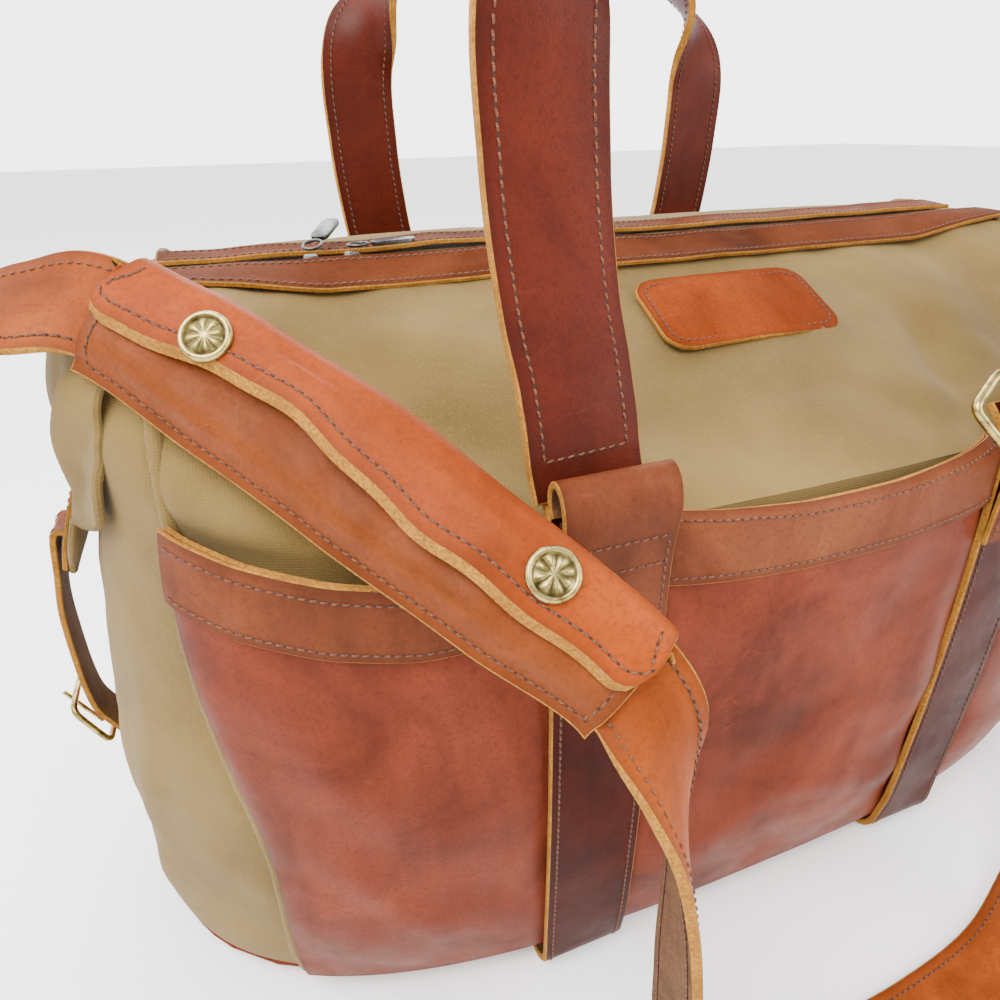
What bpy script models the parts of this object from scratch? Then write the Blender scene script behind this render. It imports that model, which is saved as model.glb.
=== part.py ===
"""Zip-top holdall in canvas and leather, with end wings drawn down by buckled straps.

World frame: X along the bag, Y from front to back, Z up, metres.
The origin is on the floor under the middle of the bag; the front faces -Y.
"""
import math

import bpy
from mathutils import Matrix, Vector

# ---- driving dimensions -------------------------------------------------------------
HALF_LENGTH = 0.286          # end panels at their widest bulge
HALF_DEPTH = 0.143           # canvas front and back at their widest bulge
BULGE_HEIGHT = 0.105         # height of the widest section
PLAN_POWER = 2.8             # squareness of the plan outline
SHOULDER_Z = 0.236           # where the upright walls end
RIDGE_Y = 0.016              # the zip lies a little behind the middle
RIDGE_Z = 0.3035             # canvas edge beside the zip
MOUTH_HALF_LENGTH = 0.240
MOUTH_HALF_WIDTH = 0.0075
SEAM_X = 0.228               # seam between the front panel and the end panels
CANVAS = 0.0024
LEATHER = 0.0022
GAP = 0.0004                 # space left between touching pieces

BASE_THICK = 0.0030
STRAP_X = 0.099              # middle of the base straps and of the handle roots
STRAP_WIDTH = 0.040
STRAP_THICK = 0.0034
BASE_LIFT = STRAP_THICK + GAP    # the base panel rises over the two base straps
BASE_RIM = 0.0087
BASE_HALF_LENGTH = 0.2745

POCKET_TOP = SHOULDER_Z
POCKET_FOOT = 0.016
POCKET_SEAM_OFFSET = 0.0026
POCKET_BELLY = 0.0072
BAND_HEIGHT = 0.025
BAND_THICK = 0.0018

HINGE_YS = {-1: 0.1330, 1: 0.1430}   # handle hinges, at the free upper ends of the base straps
HINGE_Z = 0.2665
HINGE_CLEAR = 0.0026
TAB_FOOT = 0.1499            # middle of a handle tab where it is sewn down
TAB_THICK = 0.0024
HANDLE_WIDTH = 0.039
HANDLE_THICK = 0.0046
HANDLE_TOP = 0.452

SHOULDER_WIDTH = 0.033
SHOULDER_THICK = 0.0034
PAD_SHEET = 0.0030

WING_TIP_Z = 0.190
WING_STAND_OFF = 0.008       # how far a wing's tip stands away from the bag
BUCKLE_Y = 0.006
BUCKLE_X = 0.3011
BUCKLE_Z = 0.0996
D_X = 0.2730                 # straight side of a D-ring
D_Y = 0.0020
D_Z = 0.2930

SLIDER_XS = (-0.163, -0.145)
PULL_DIRECTIONS = ((0.50, 0.80, 0.28), (1.0, -0.03, 0.03))
SIDES = ((-1, "left"), (1, "right"))
FACES = ((-1, "front"), (1, "back"))

# ---- materials: colour, roughness, metallic ------------------------------------------
MATERIALS = {
    "canvas": ((0.42, 0.33, 0.19), 0.9, 0.0),
    "saddle_leather": ((0.50, 0.17, 0.06), 0.5, 0.0),
    "oxblood_leather": ((0.28, 0.075, 0.045), 0.45, 0.0),
    "board": ((0.20, 0.15, 0.10), 0.9, 0.0),
    "zip_tape": ((0.30, 0.26, 0.15), 0.9, 0.0),
    "antique_brass": ((0.45, 0.36, 0.14), 0.35, 1.0),
    "gunmetal": ((0.09, 0.09, 0.09), 0.35, 1.0),
}


def clear_scene():
    for obj in list(bpy.data.objects):
        bpy.data.objects.remove(obj, do_unlink=True)


def material(slot):
    found = bpy.data.materials.get(slot)
    if found:
        return found
    colour, roughness, metallic = MATERIALS[slot]
    mat = bpy.data.materials.new(slot)
    mat.use_nodes = True
    shader = mat.node_tree.nodes["Principled BSDF"]
    shader.inputs["Base Color"].default_value = (*colour, 1.0)
    shader.inputs["Roughness"].default_value = roughness
    shader.inputs["Metallic"].default_value = metallic
    return mat


# ---- mesh helpers ----------------------------------------------------------------------
def signed_volume(verts, faces):
    total = 0.0
    for face in faces:
        a = verts[face[0]]
        for i in range(1, len(face) - 1):
            total += a.dot(verts[face[i]].cross(verts[face[i + 1]]))
    return total / 6.0


def make(name, verts, faces, slot, origin=(0, 0, 0)):
    """One closed solid from world points; its object's origin lies at `origin`."""
    origin = Vector(origin)
    verts = [Vector(v) - origin for v in verts]
    if signed_volume(verts, faces) < 0:
        faces = [tuple(reversed(face)) for face in faces]
    mesh = bpy.data.meshes.new(name)
    mesh.from_pydata([tuple(v) for v in verts], [], faces)
    mesh.materials.append(material(slot))
    mesh.shade_smooth()
    mesh.set_sharp_from_angle(angle=math.radians(35))
    obj = bpy.data.objects.new(name, mesh)
    obj.location = origin
    bpy.context.scene.collection.objects.link(obj)
    return obj


def loft(rings, closed=False):
    """Solid through equal rings; the ends are capped unless the row of rings closes."""
    count = len(rings[0])
    verts = [Vector(p) for ring in rings for p in ring]
    faces = []
    last = len(rings) if closed else len(rings) - 1
    for i in range(last):
        a, b = i * count, ((i + 1) % len(rings)) * count
        for j in range(count):
            k = (j + 1) % count
            faces.append((a + j, a + k, b + k, b + j))
    if not closed:
        faces.append(tuple(reversed(range(count))))
        faces.append(tuple(range(len(verts) - count, len(verts))))
    return verts, faces


def grid_normal(grid, i, j):
    rows, cols = len(grid), len(grid[0])
    du = grid[min(i + 1, rows - 1)][j] - grid[max(i - 1, 0)][j]
    dv = grid[i][min(j + 1, cols - 1)] - grid[i][max(j - 1, 0)]
    return du.cross(dv).normalized()


def shell(grid, thickness, outward):
    """Solid sheet: the grid is its outer face, and the thickness goes away from `outward`."""
    rows, cols = len(grid), len(grid[0])
    middle = grid_normal(grid, rows // 2, cols // 2)
    sign = 1.0 if middle.dot(Vector(outward)) > 0 else -1.0
    outer = [p.copy() for row in grid for p in row]
    inner = [grid[i][j] - grid_normal(grid, i, j) * (sign * thickness)
             for i in range(rows) for j in range(cols)]
    verts = outer + inner
    shift = rows * cols
    faces = []
    for i in range(rows - 1):
        for j in range(cols - 1):
            a = i * cols + j
            quad = (a, a + 1, a + cols + 1, a + cols)
            faces.append(quad)
            faces.append(tuple(shift + v for v in reversed(quad)))
    border = [(0, j) for j in range(cols - 1)]
    border += [(i, cols - 1) for i in range(rows - 1)]
    border += [(rows - 1, j) for j in range(cols - 1, 0, -1)]
    border += [(i, 0) for i in range(rows - 1, 0, -1)]
    loop = [i * cols + j for i, j in border]
    for n, a in enumerate(loop):
        b = loop[(n + 1) % len(loop)]
        faces.append((b, a, a + shift, b + shift))
    return verts, faces


def smooth_path(points, steps):
    """Catmull-Rom curve through the points, `steps` pieces to a span."""
    pts = [Vector(p) for p in points]
    ext = [2 * pts[0] - pts[1]] + pts + [2 * pts[-1] - pts[-2]]
    out = []
    for n in range(1, len(ext) - 2):
        p0, p1, p2, p3 = ext[n - 1:n + 3]
        for step in range(steps):
            t = step / steps
            out.append(0.5 * (2 * p1 + (p2 - p0) * t + (2 * p0 - 5 * p1 + 4 * p2 - p3) * t * t
                              + (3 * p1 - p0 - 3 * p2 + p3) * t ** 3))
    out.append(pts[-1])
    return out


def ribbon(path, across, width, thick):
    """Flat strap along a path; `across` holds its width direction at each point."""
    rings = []
    for n, point in enumerate(path):
        tangent = (path[min(n + 1, len(path) - 1)] - path[max(n - 1, 0)]).normalized()
        side = Vector(across[n])
        side = (side - tangent * side.dot(tangent)).normalized()
        face = tangent.cross(side)
        a, b = side * width / 2, face * thick / 2
        rings.append([point - a - b, point + a - b, point + a + b, point - a + b])
    return loft(rings)


def rod(path, radius, sides=8, closed=False):
    """Round bar along a path."""
    rings = []
    count = len(path)
    for n, point in enumerate(path):
        after = path[(n + 1) % count] if closed else path[min(n + 1, count - 1)]
        before = path[n - 1] if closed else path[max(n - 1, 0)]
        tangent = (after - before).normalized()
        helper = Vector((0, 0, 1)) if abs(tangent.z) < 0.9 else Vector((1, 0, 0))
        if closed:
            helper = path_plane(path)
        u = tangent.cross(helper).normalized()
        v = tangent.cross(u)
        rings.append([point + (u * math.cos(a) + v * math.sin(a)) * radius
                      for a in (2 * math.pi * k / sides for k in range(sides))])
    return loft(rings, closed)


def path_plane(path):
    third = len(path) // 3
    return (path[third] - path[0]).cross(path[2 * third] - path[0]).normalized()


def rounded_loop(width, height, radius, matrix, steps=3):
    """Rounded rectangle in the local XY plane, placed by the matrix."""
    points = []
    for k, (sx, sy) in enumerate(((1, 1), (-1, 1), (-1, -1), (1, -1))):
        centre = Vector((sx * (width / 2 - radius), sy * (height / 2 - radius), 0))
        for step in range(steps + 1):
            angle = math.pi / 2 * (k + step / steps)
            points.append(centre + Vector((math.cos(angle), math.sin(angle), 0)) * radius)
    return [matrix @ p for p in points]


def plate(width, height, thick, radius, matrix, steps=3):
    """Flat plate with round corners, its middle plane in the local XY plane."""
    half = Matrix.Translation((0, 0, thick / 2))
    return loft([rounded_loop(width, height, radius, matrix @ half.inverted(), steps),
                 rounded_loop(width, height, radius, matrix @ half, steps)])


def disc(centre, normal, radius, thick, crown=0.0, sides=20):
    """Round plate, with its outer face turned up to `crown` in the middle."""
    matrix = facing(centre, normal)
    rings = []
    for r, h in ((radius * 0.96, 0.0), (radius, thick * 0.4), (radius * 0.9, thick),
                 (radius * 0.45, thick + crown)):
        rings.append([matrix @ Vector((r * math.cos(a), r * math.sin(a), h))
                      for a in (2 * math.pi * k / sides for k in range(sides))])
    return loft(rings)


def facing(centre, normal, up=(0, 0, 1)):
    """Placement whose local Z is the normal and whose local Y leans towards `up`."""
    z = Vector(normal).normalized()
    x = Vector(up).cross(z).normalized()
    y = z.cross(x)
    matrix = Matrix((x, y, z)).transposed().to_4x4()
    matrix.translation = Vector(centre)
    return matrix


# ---- the bag's outer form --------------------------------------------------------------
def plan_axes(z, offset=0.0):
    """Half length and half depth of the plan outline at a height."""
    rise = z - BULGE_HEIGHT
    half_length = HALF_LENGTH - 0.62 * max(0.0, z - 0.04) ** 2
    half_depth = HALF_DEPTH - 0.25 * rise * rise
    foot = max(0.0, 0.030 - z) / 0.030
    tuck = 0.014 * (1 - math.sqrt(max(0.0, 1 - foot * foot)))
    return half_length - tuck + offset, half_depth - tuck * 0.7 + offset


def power(value, exponent):
    return math.copysign(abs(value) ** exponent, value)


def wall_point(angle, z, offset=0.0):
    a, b = plan_axes(z, offset)
    e = 2 / PLAN_POWER
    return Vector((a * power(math.cos(angle), e), b * power(math.sin(angle), e), z))


def angle_at(x, z=SHOULDER_Z):
    """Plan angle, from the X axis, of the wall point at a distance x from the middle."""
    a, _ = plan_axes(z)
    return math.acos(min(1.0, (abs(x) / a)) ** (PLAN_POWER / 2))


def wall_y(x, z, offset=0.0):
    a, b = plan_axes(z, offset)
    return b * (1 - min(1.0, abs(x) / a) ** PLAN_POWER) ** (1 / PLAN_POWER)


def smoothstep(low, high, value):
    t = min(1.0, max(0.0, (value - low) / (high - low)))
    return t * t * (3 - 2 * t)


def top_point(angle, s, offset=0.0):
    """Top of the bag: s runs from the shoulder (0) to the mouth (1)."""
    foot = wall_point(angle, SHOULDER_Z, offset)
    c, d = math.cos(angle), math.sin(angle)
    mouth = Vector((MOUTH_HALF_LENGTH * power(c, 0.5),
                    RIDGE_Y + MOUTH_HALF_WIDTH * power(d, 0.5), RIDGE_Z + offset))
    boxy = 1.0 + 2.2 * smoothstep(-0.92, -0.30, d)
    phi = s * math.pi / 2
    across = 1 - math.cos(phi) ** (2 / boxy)
    rise = math.sin(phi) ** (2 / boxy)
    point = foot + (mouth - foot) * across
    point.z = foot.z + (mouth.z - foot.z) * rise
    point.z += 0.007 * smoothstep(0.0, 0.8, d) * math.sin(math.pi * min(1.0, s * 1.02)) ** 0.8
    return point


WALL_LEVELS = [0.0125, 0.020, 0.032, 0.060, 0.100, 0.140, 0.180, 0.212, SHOULDER_Z]
TOP_STEPS = [0.12, 0.26, 0.40, 0.54, 0.68, 0.82, 0.92, 1.0]


def canvas_panel(name, start, end, columns, outward):
    angles = [start + (end - start) * k / columns for k in range(columns + 1)]
    grid = [[wall_point(a, z) for a in angles] for z in WALL_LEVELS]
    grid += [[top_point(a, s) for a in angles] for s in TOP_STEPS]
    verts, faces = shell(grid, CANVAS, outward)
    make(name, verts, faces, "canvas")


def canvas_body():
    seam = angle_at(SEAM_X)
    slit = 0.006             # half the angle left open at a seam
    canvas_panel("canvas_front", -math.pi + seam + slit, -seam - slit, 14, (0, -1, 0))
    canvas_panel("canvas_back", seam + slit, math.pi - seam - slit, 14, (0, 1, 0))
    canvas_panel("end_panel_right", -seam + slit, seam - slit, 12, (1, 0, 0))
    canvas_panel("end_panel_left", math.pi - seam + slit, math.pi + seam - slit, 12, (-1, 0, 0))


def outline(z, offset, height, count=36):
    return [Vector((*wall_point(2 * math.pi * k / count, z, offset).xy, height))
            for k in range(count)]


def base_height(x, y, half_depth):
    """Underside of the base: it rises to the rim, and over the two straps that cross it."""
    edge = min(half_depth - abs(y), BASE_HALF_LENGTH - abs(x))
    rim = (BASE_RIM - BASE_LIFT) * (1 - min(1.0, edge / 0.010)) ** 2
    beside = max(0.0, abs(abs(x) - STRAP_X) - STRAP_WIDTH / 2 - 0.0006)
    near_rim = 1 - min(1.0, edge / 0.016)
    over_strap = max(1 - min(1.0, beside / 0.0040), near_rim)
    return rim + BASE_LIFT * over_strap


def base():
    strap_edge = STRAP_WIDTH / 2 + 0.0006
    half = [0.045, STRAP_X - strap_edge - 0.004, STRAP_X - strap_edge, STRAP_X + strap_edge,
            STRAP_X + strap_edge + 0.004, 0.165, 0.205, 0.236, 0.256, 0.2645, 0.2705,
            BASE_HALF_LENGTH]
    xs = [-x for x in reversed(half)] + [0.0] + half
    grid = []
    for x in xs:
        half_depth = wall_y(x, 0.0125)
        inset = [0.0, 0.003, 0.0065, 0.010, 0.016, 0.45 * half_depth, half_depth]
        ys = [-half_depth + d for d in inset] + [half_depth - d for d in reversed(inset[:-1])]
        grid.append([Vector((x, y, base_height(x, y, half_depth))) for y in ys])
    verts, faces = shell(grid, BASE_THICK, (0, 0, -1))
    make("base_panel", verts, faces, "oxblood_leather")
    low = BASE_LIFT + BASE_THICK + GAP
    rings = [outline(0.0125, -0.016, low), outline(0.0125, -0.016, low + 0.0028)]
    verts, faces = loft(rings)
    make("base_board", verts, faces, "board")


# ---- pockets, bands, base straps ---------------------------------------------------------
def pocket_offset(x, z):
    """Distance from canvas to pocket: sewn down at the sides and foot, slack between."""
    strap_edge = STRAP_WIDTH / 2 + 0.0006
    inner = STRAP_X - strap_edge
    if abs(x) < inner:
        u = (x + inner) / (2 * inner)
    else:
        u = (abs(x) - STRAP_X - strap_edge) / (SEAM_X - STRAP_X - strap_edge)
    slack = math.sin(math.pi * u) ** 0.5 if 0 < u < 1 else 0.0
    return POCKET_SEAM_OFFSET + POCKET_BELLY * slack * smoothstep(POCKET_FOOT, 0.07, z)


def pocket_grid(face, x0, x1, columns, levels, extra):
    grid = []
    for z in levels:
        row = []
        for k in range(columns + 1):
            x = x0 + (x1 - x0) * k / columns
            offset = pocket_offset(x, z) + extra
            spread = plan_axes(z)[0] / plan_axes(SHOULDER_Z)[0] - 1
            x *= 1 + spread * smoothstep(STRAP_X + 0.025, SEAM_X, abs(x))
            angle = angle_at(x, z)
            angle = math.pi - angle if x < 0 else angle
            row.append(wall_point(face * angle, z, offset))
        grid.append(row)
    return grid


POCKETS = (("left", -SEAM_X + 0.0012, -STRAP_X - 0.0006, 9),
           ("centre", -STRAP_X + 0.0006, STRAP_X - 0.0006, 10),
           ("right", STRAP_X + 0.0006, SEAM_X - 0.0012, 9))


def pockets():
    levels = [POCKET_FOOT, 0.024, 0.040, 0.070, 0.110, 0.150, 0.190, POCKET_TOP - BAND_HEIGHT,
              POCKET_TOP]
    for face, side in FACES:
        for part, x0, x1, columns in POCKETS:
            grid = pocket_grid(face, x0, x1, columns, levels, LEATHER)
            verts, faces = shell(grid, LEATHER, (0, face, 0))
            make(f"pocket_{side}_{part}", verts, faces, "oxblood_leather")
            grid = pocket_grid(face, x0, x1, columns, levels[-2:], LEATHER + GAP + BAND_THICK)
            grid = trim_to_straps(grid, x0, x1, columns)
            verts, faces = shell(grid, BAND_THICK, (0, face, 0))
            make(f"band_{side}_{part}", verts, faces, "saddle_leather")


def trim_to_straps(grid, x0, x1, columns):
    """Drops the columns of a band that would run under a base strap."""
    clear = STRAP_WIDTH / 2 + 0.0006
    keep = [k for k in range(columns + 1)
            if abs(abs(x0 + (x1 - x0) * k / columns) - STRAP_X) > clear]
    return [[row[k] for k in keep] for row in grid]


def strap_offset():
    return POCKET_SEAM_OFFSET + LEATHER + 2 * GAP + STRAP_THICK / 2


def strap_end(hinge_y):
    """Free upper end of a base strap, from the hinge down to where it meets the pocket."""
    sewn_y = 0.1432
    shares = ((0.0, HINGE_Z - HINGE_CLEAR), (0.15, 0.2590), (0.44, 0.2520), (0.83, 0.2445),
              (1.0, 0.2380))
    return [(hinge_y + (sewn_y - hinge_y) * share, z) for share, z in shares]


def base_straps():
    """U-shaped straps: up the front, under the base and up the back."""
    off = strap_offset()
    half = [(wall_y(STRAP_X, z, off), z) for z in (0.226, 0.200, 0.160, 0.110, 0.070, 0.040)]
    foot_y = wall_y(STRAP_X, 0.020, off)
    half += [(foot_y, 0.0200), (foot_y - 0.0012, 0.0115), (foot_y - 0.0062, 0.0044),
             (foot_y - 0.0150, 0.0018), (0.105, STRAP_THICK / 2), (0.050, STRAP_THICK / 2)]
    front, back = [strap_end(HINGE_YS[face]) + half for face, _ in FACES]
    line = [(-y, z) for y, z in front] + back[::-1]
    for sign, side in SIDES:
        path = smooth_path([(sign * STRAP_X, y, z) for y, z in line], 2)
        path = [Vector((p.x, p.y, max(p.z, STRAP_THICK / 2))) for p in path]
        across = []
        for p in path:
            turn = 0.078 * smoothstep(0.010, 0.040, p.z) * (1 - smoothstep(0.228, 0.243, p.z))
            across.append((1, math.copysign(turn, -sign * p.y), 0))
        verts, faces = ribbon(path, across, STRAP_WIDTH, STRAP_THICK)
        make(f"base_strap_{side}", verts, faces, "oxblood_leather")


# ---- handles -------------------------------------------------------------------------------
def tab_section(hinge_y):
    """Side outline of a handle tab: sewn down at its foot, and rolled over at its top."""
    shift = (hinge_y - HINGE_YS[-1]) / 2
    line = [(TAB_FOOT, 0.196), (TAB_FOOT, 0.214), (TAB_FOOT + 0.0002, 0.230),
            (TAB_FOOT + 0.0016, 0.2420), (TAB_FOOT + 0.0026, 0.2500), (TAB_FOOT + 0.0006, 0.2575),
            (TAB_FOOT - 0.0036, 0.2612), (TAB_FOOT - 0.0076, 0.2590),
            (TAB_FOOT - 0.0082, 0.2535), (TAB_FOOT - 0.0062, 0.2488)]
    line = smooth_path([(0, y + shift * smoothstep(0.225, 0.248, z), z) for y, z in line], 2)
    left, right = [], []
    for n, point in enumerate(line):
        tangent = (line[min(n + 1, len(line) - 1)] - line[max(n - 1, 0)]).normalized()
        aside = Vector((0, -tangent.z, tangent.y)) * TAB_THICK / 2
        left.append(point + aside)
        right.append(point - aside)
    return left + right[::-1]


def handle_tabs():
    half = STRAP_WIDTH / 2 + 0.0006
    for face, front in FACES:
        section = tab_section(HINGE_YS[face])
        for sign, side in SIDES:
            rings = [[Vector((sign * STRAP_X + edge, face * p.y, p.z)) for p in section]
                     for edge in (-half, half)]
            verts, faces = loft(rings)
            make(f"handle_tab_{front}_{side}", verts, faces, "saddle_leather")


def handle_path():
    """Half of the handle, from its hinge up to the grip: (x, inward lean, z)."""
    return [(-0.1008, 0.0004, HINGE_Z + HINGE_CLEAR), (-0.1009, 0.0018, 0.2740),
            (-0.1020, 0.0044, 0.2800), (-0.1045, 0.0080, 0.2900), (-0.1080, 0.0120, 0.3100),
            (-0.1110, 0.0160, 0.3460), (-0.1095, 0.0200, 0.3900), (-0.0900, 0.0240, 0.4260),
            (-0.0500, 0.0270, 0.4460), (0.0, 0.0280, HANDLE_TOP)]


def handles():
    half = handle_path()
    full = half + [(-x, lean, z) for x, lean, z in reversed(half[:-1])]
    for face, front in FACES:
        share = 1.0 if face < 0 else 0.15
        hinge_y = HINGE_YS[face]
        path = smooth_path([(x, face * (hinge_y - lean * share), z) for x, lean, z in full], 2)
        across = handle_across(path, face)
        verts, faces = ribbon(path, across, HANDLE_WIDTH, HANDLE_THICK)
        make(f"handle_{front}", verts, faces, "saddle_leather", (0, face * hinge_y, HINGE_Z))


def handle_across(path, face):
    """The strap's width runs along X on both legs and along Y at the grip."""
    out = []
    for p in path:
        level = smoothstep(0.370, HANDLE_TOP - 0.004, p.z)
        out.append(Vector((math.copysign(1.0 - level, -p.x), -face * level, 0)))
    return out


# ---- zip -------------------------------------------------------------------------------------
def zip_parts():
    facing_half = 0.226
    columns = 12
    for face, side in FACES:
        grid = []
        for k in range(columns + 1):
            x = -facing_half + 2 * facing_half * k / columns
            row = []
            for reach in (0.0010, 0.0080, 0.0150, 0.0215):
                y = RIDGE_Y + face * (MOUTH_HALF_WIDTH + reach)
                row.append(Vector((x, y, top_height(x, y) + GAP * 4 + LEATHER)))
            grid.append(row)
        verts, faces = shell(grid, LEATHER, (0, 0, 1))
        make(f"zip_facing_{side}", verts, faces, "saddle_leather")
        y = RIDGE_Y + face * 0.0032
        matrix = Matrix.Translation((0, y, RIDGE_Z - 0.0052))
        verts, faces = plate(2 * 0.222, 0.0058, 0.0014, 0.0006, matrix, 1)
        make(f"zip_tape_{side}", verts, faces, "zip_tape")


def top_height(x, y):
    """Height of the canvas top under a point: the two surface parameters are halved in."""
    face = -1 if y < RIDGE_Y else 1
    low, high = 0.0, 1.0
    angle = face * math.pi / 2
    for _ in range(24):
        s = (low + high) / 2
        left, right = 0.05, math.pi - 0.05
        for _ in range(24):
            middle = (left + right) / 2
            if top_point(face * middle, s).x > x:
                left = middle
            else:
                right = middle
        angle = face * left
        if abs(top_point(angle, s).y - RIDGE_Y) > abs(y - RIDGE_Y):
            low = s
        else:
            high = s
    return top_point(angle, low).z


def sliders():
    for x, along, (sign, side) in zip(SLIDER_XS, PULL_DIRECTIONS, SIDES):
        low = RIDGE_Z - 0.0041
        outline_xz = [(-0.0070, 0.0), (-0.0070, 0.0030), (-0.0044, 0.0042), (-0.0026, 0.0072),
                      (0.0026, 0.0072), (0.0044, 0.0042), (0.0070, 0.0030), (0.0070, 0.0)]
        rings = []
        for dy, shrink in ((-0.0045, 0.8), (-0.0034, 1.0), (0.0034, 1.0), (0.0045, 0.8)):
            rings.append([Vector((x + dx * shrink, RIDGE_Y + dy, low + dz * shrink))
                          for dx, dz in outline_xz])
        verts, faces = loft(rings)
        pull_pivot = Vector((x, RIDGE_Y, low + 0.0102))
        make(f"zip_slider_{side}", verts, faces, "gunmetal", pull_pivot)
        pull(side, pull_pivot, along)


def pull(side, pivot, along):
    """Flat pull tab on a small ring, leaning away from the slider."""
    along = Vector(along).normalized()
    hinge = along.cross(Vector((0, 0, 1))).normalized()
    flat = hinge.cross(along)
    matrix = facing(pivot + along * 0.0188, flat, along)
    verts, faces = plate(0.0082, 0.0200, 0.0018, 0.0034, matrix)
    make(f"zip_pull_{side}", verts, faces, "gunmetal", pivot)
    ring = facing(pivot + along * 0.0030, flat, along)
    loop = rounded_loop(0.0080, 0.0090, 0.0036, ring, 3)
    verts, faces = rod(loop, 0.0008, 6, closed=True)
    make(f"zip_ring_{side}", verts, faces, "gunmetal", pivot)


# ---- wings and end straps ----------------------------------------------------------------------
# Half width of a wing, as a plan angle in degrees, against the share of its length.
WING_EDGE = ((0.0, 29.6), (0.41, 22.6), (0.63, 7.0), (1.0, 2.4))


def profile(knots, share):
    """Smooth steps between (share, value) knots."""
    for (x0, y0), (x1, y1) in zip(knots, knots[1:]):
        if share <= x1:
            return y0 + (y1 - y0) * smoothstep(x0, x1, share)
    return knots[-1][1]


def wing_point(sign, degrees, v, lift):
    """Point of a folded wing: v runs from the fold (0) down to the tip (1).

    The wing lies on the end of the bag, narrows downwards and stands off at its tip.
    """
    shoulder = 0.45
    angle = math.radians(degrees)
    if v < shoulder:
        p = top_point(angle, 0.52 * (1 - v / shoulder), lift)
    else:
        drop = (v - shoulder) / (1 - shoulder)
        p = wall_point(angle, SHOULDER_Z - (SHOULDER_Z - WING_TIP_Z) * drop, lift)
    p.x += WING_STAND_OFF * smoothstep(0.30, 1.0, v)
    return Vector((sign * p.x, p.y, p.z))


def wing_grid(sign, lift, edges, length, columns, rows):
    """Grid on the wing between two plan angles, each given against the share of its length."""
    grid = []
    for i in range(rows + 1):
        v = length * i / rows
        low, high = profile(edges[0], v), profile(edges[1], v)
        grid.append([wing_point(sign, low + (high - low) * j / columns, v, lift)
                     for j in range(columns + 1)])
    return grid


def wings():
    negative = [(v, -degrees) for v, degrees in WING_EDGE]
    strip = [((0.0, side * 1.6), (1.0, side * 1.6)) for side in (-1, 1)]
    for sign, side in SIDES:
        grid = wing_grid(sign, 0.0050, (negative, WING_EDGE), 1.0, 12, 12)
        verts, faces = shell(grid, 0.0032, (sign, 0, 0.3))
        make(f"wing_{side}", verts, faces, "canvas")
        grid = wing_grid(sign, 0.0078, strip, 1.0, 4, 8)
        verts, faces = shell(grid, LEATHER, (sign, 0, 0.3))
        make(f"wing_strip_{side}", verts, faces, "saddle_leather")


def end_straps():
    for sign, side in SIDES:
        path = [(0.2895, 0.003, 0.2050), (0.2925, 0.003, 0.1850), (0.2965, 0.004, 0.1650),
                (0.2985, 0.005, 0.1400), (0.2993, BUCKLE_Y, 0.1180), (0.2980, BUCKLE_Y, 0.1040),
                (0.2932, BUCKLE_Y, 0.0925), (0.2905, BUCKLE_Y, 0.0840)]
        path = smooth_path([(sign * x, y, z) for x, y, z in path], 3)
        verts, faces = ribbon(path, [(0, 1, 0)] * len(path), 0.0200, 0.0026)
        make(f"end_strap_{side}", verts, faces, "saddle_leather")
        frame = facing((sign * BUCKLE_X, BUCKLE_Y, BUCKLE_Z), (sign, 0, -0.43), (0, 0, 1))
        loop = rounded_loop(0.0300, 0.0270, 0.0050, frame)
        verts, faces = rod(loop, 0.0016, 8, closed=True)
        make(f"end_buckle_{side}", verts, faces, "antique_brass")
        prong_foot = frame @ Vector((0, -0.0095, 0.0034))
        prong_tip = frame @ Vector((0, 0.0165, 0.0046))
        verts, faces = rod([prong_foot, (prong_foot + prong_tip) / 2, prong_tip], 0.0011, 6)
        make(f"end_prong_{side}", verts, faces, "antique_brass", prong_foot)
        tab = [Vector((sign * (plan_axes(z)[0] + 0.0023), BUCKLE_Y, z))
               for z in (0.0800, 0.0700, 0.0600, 0.0500, 0.0420)]
        verts, faces = ribbon(tab, [(0, 1, 0)] * len(tab), 0.0240, 0.0030)
        make(f"buckle_tab_{side}", verts, faces, "saddle_leather")


# ---- D-rings, shoulder strap and pad ----------------------------------------------------------
def d_rings():
    tab = (((0.0, -3.6), (1.0, -3.6)), ((0.0, 6.0), (1.0, 6.0)))
    for sign, side in SIDES:
        grid = wing_grid(sign, 0.0101, tab, 0.13, 3, 3)
        verts, faces = shell(grid, 0.0018, (sign, 0, 0.6))
        make(f"d_tab_{side}", verts, faces, "saddle_leather")
        points = [Vector((sign * D_X, D_Y - 0.012, D_Z)), Vector((sign * D_X, D_Y + 0.012, D_Z))]
        for k in range(9):
            angle = math.pi / 2 - math.pi * k / 8
            points.append(Vector((sign * (D_X + 0.003 + 0.012 * math.cos(angle)),
                                  D_Y + 0.0145 * math.sin(angle),
                                  D_Z - 0.002 * math.cos(angle))))
        verts, faces = rod(points, 0.0014, 8, closed=True)
        make(f"d_ring_{side}", verts, faces, "antique_brass", (sign * D_X, D_Y, D_Z))


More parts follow.
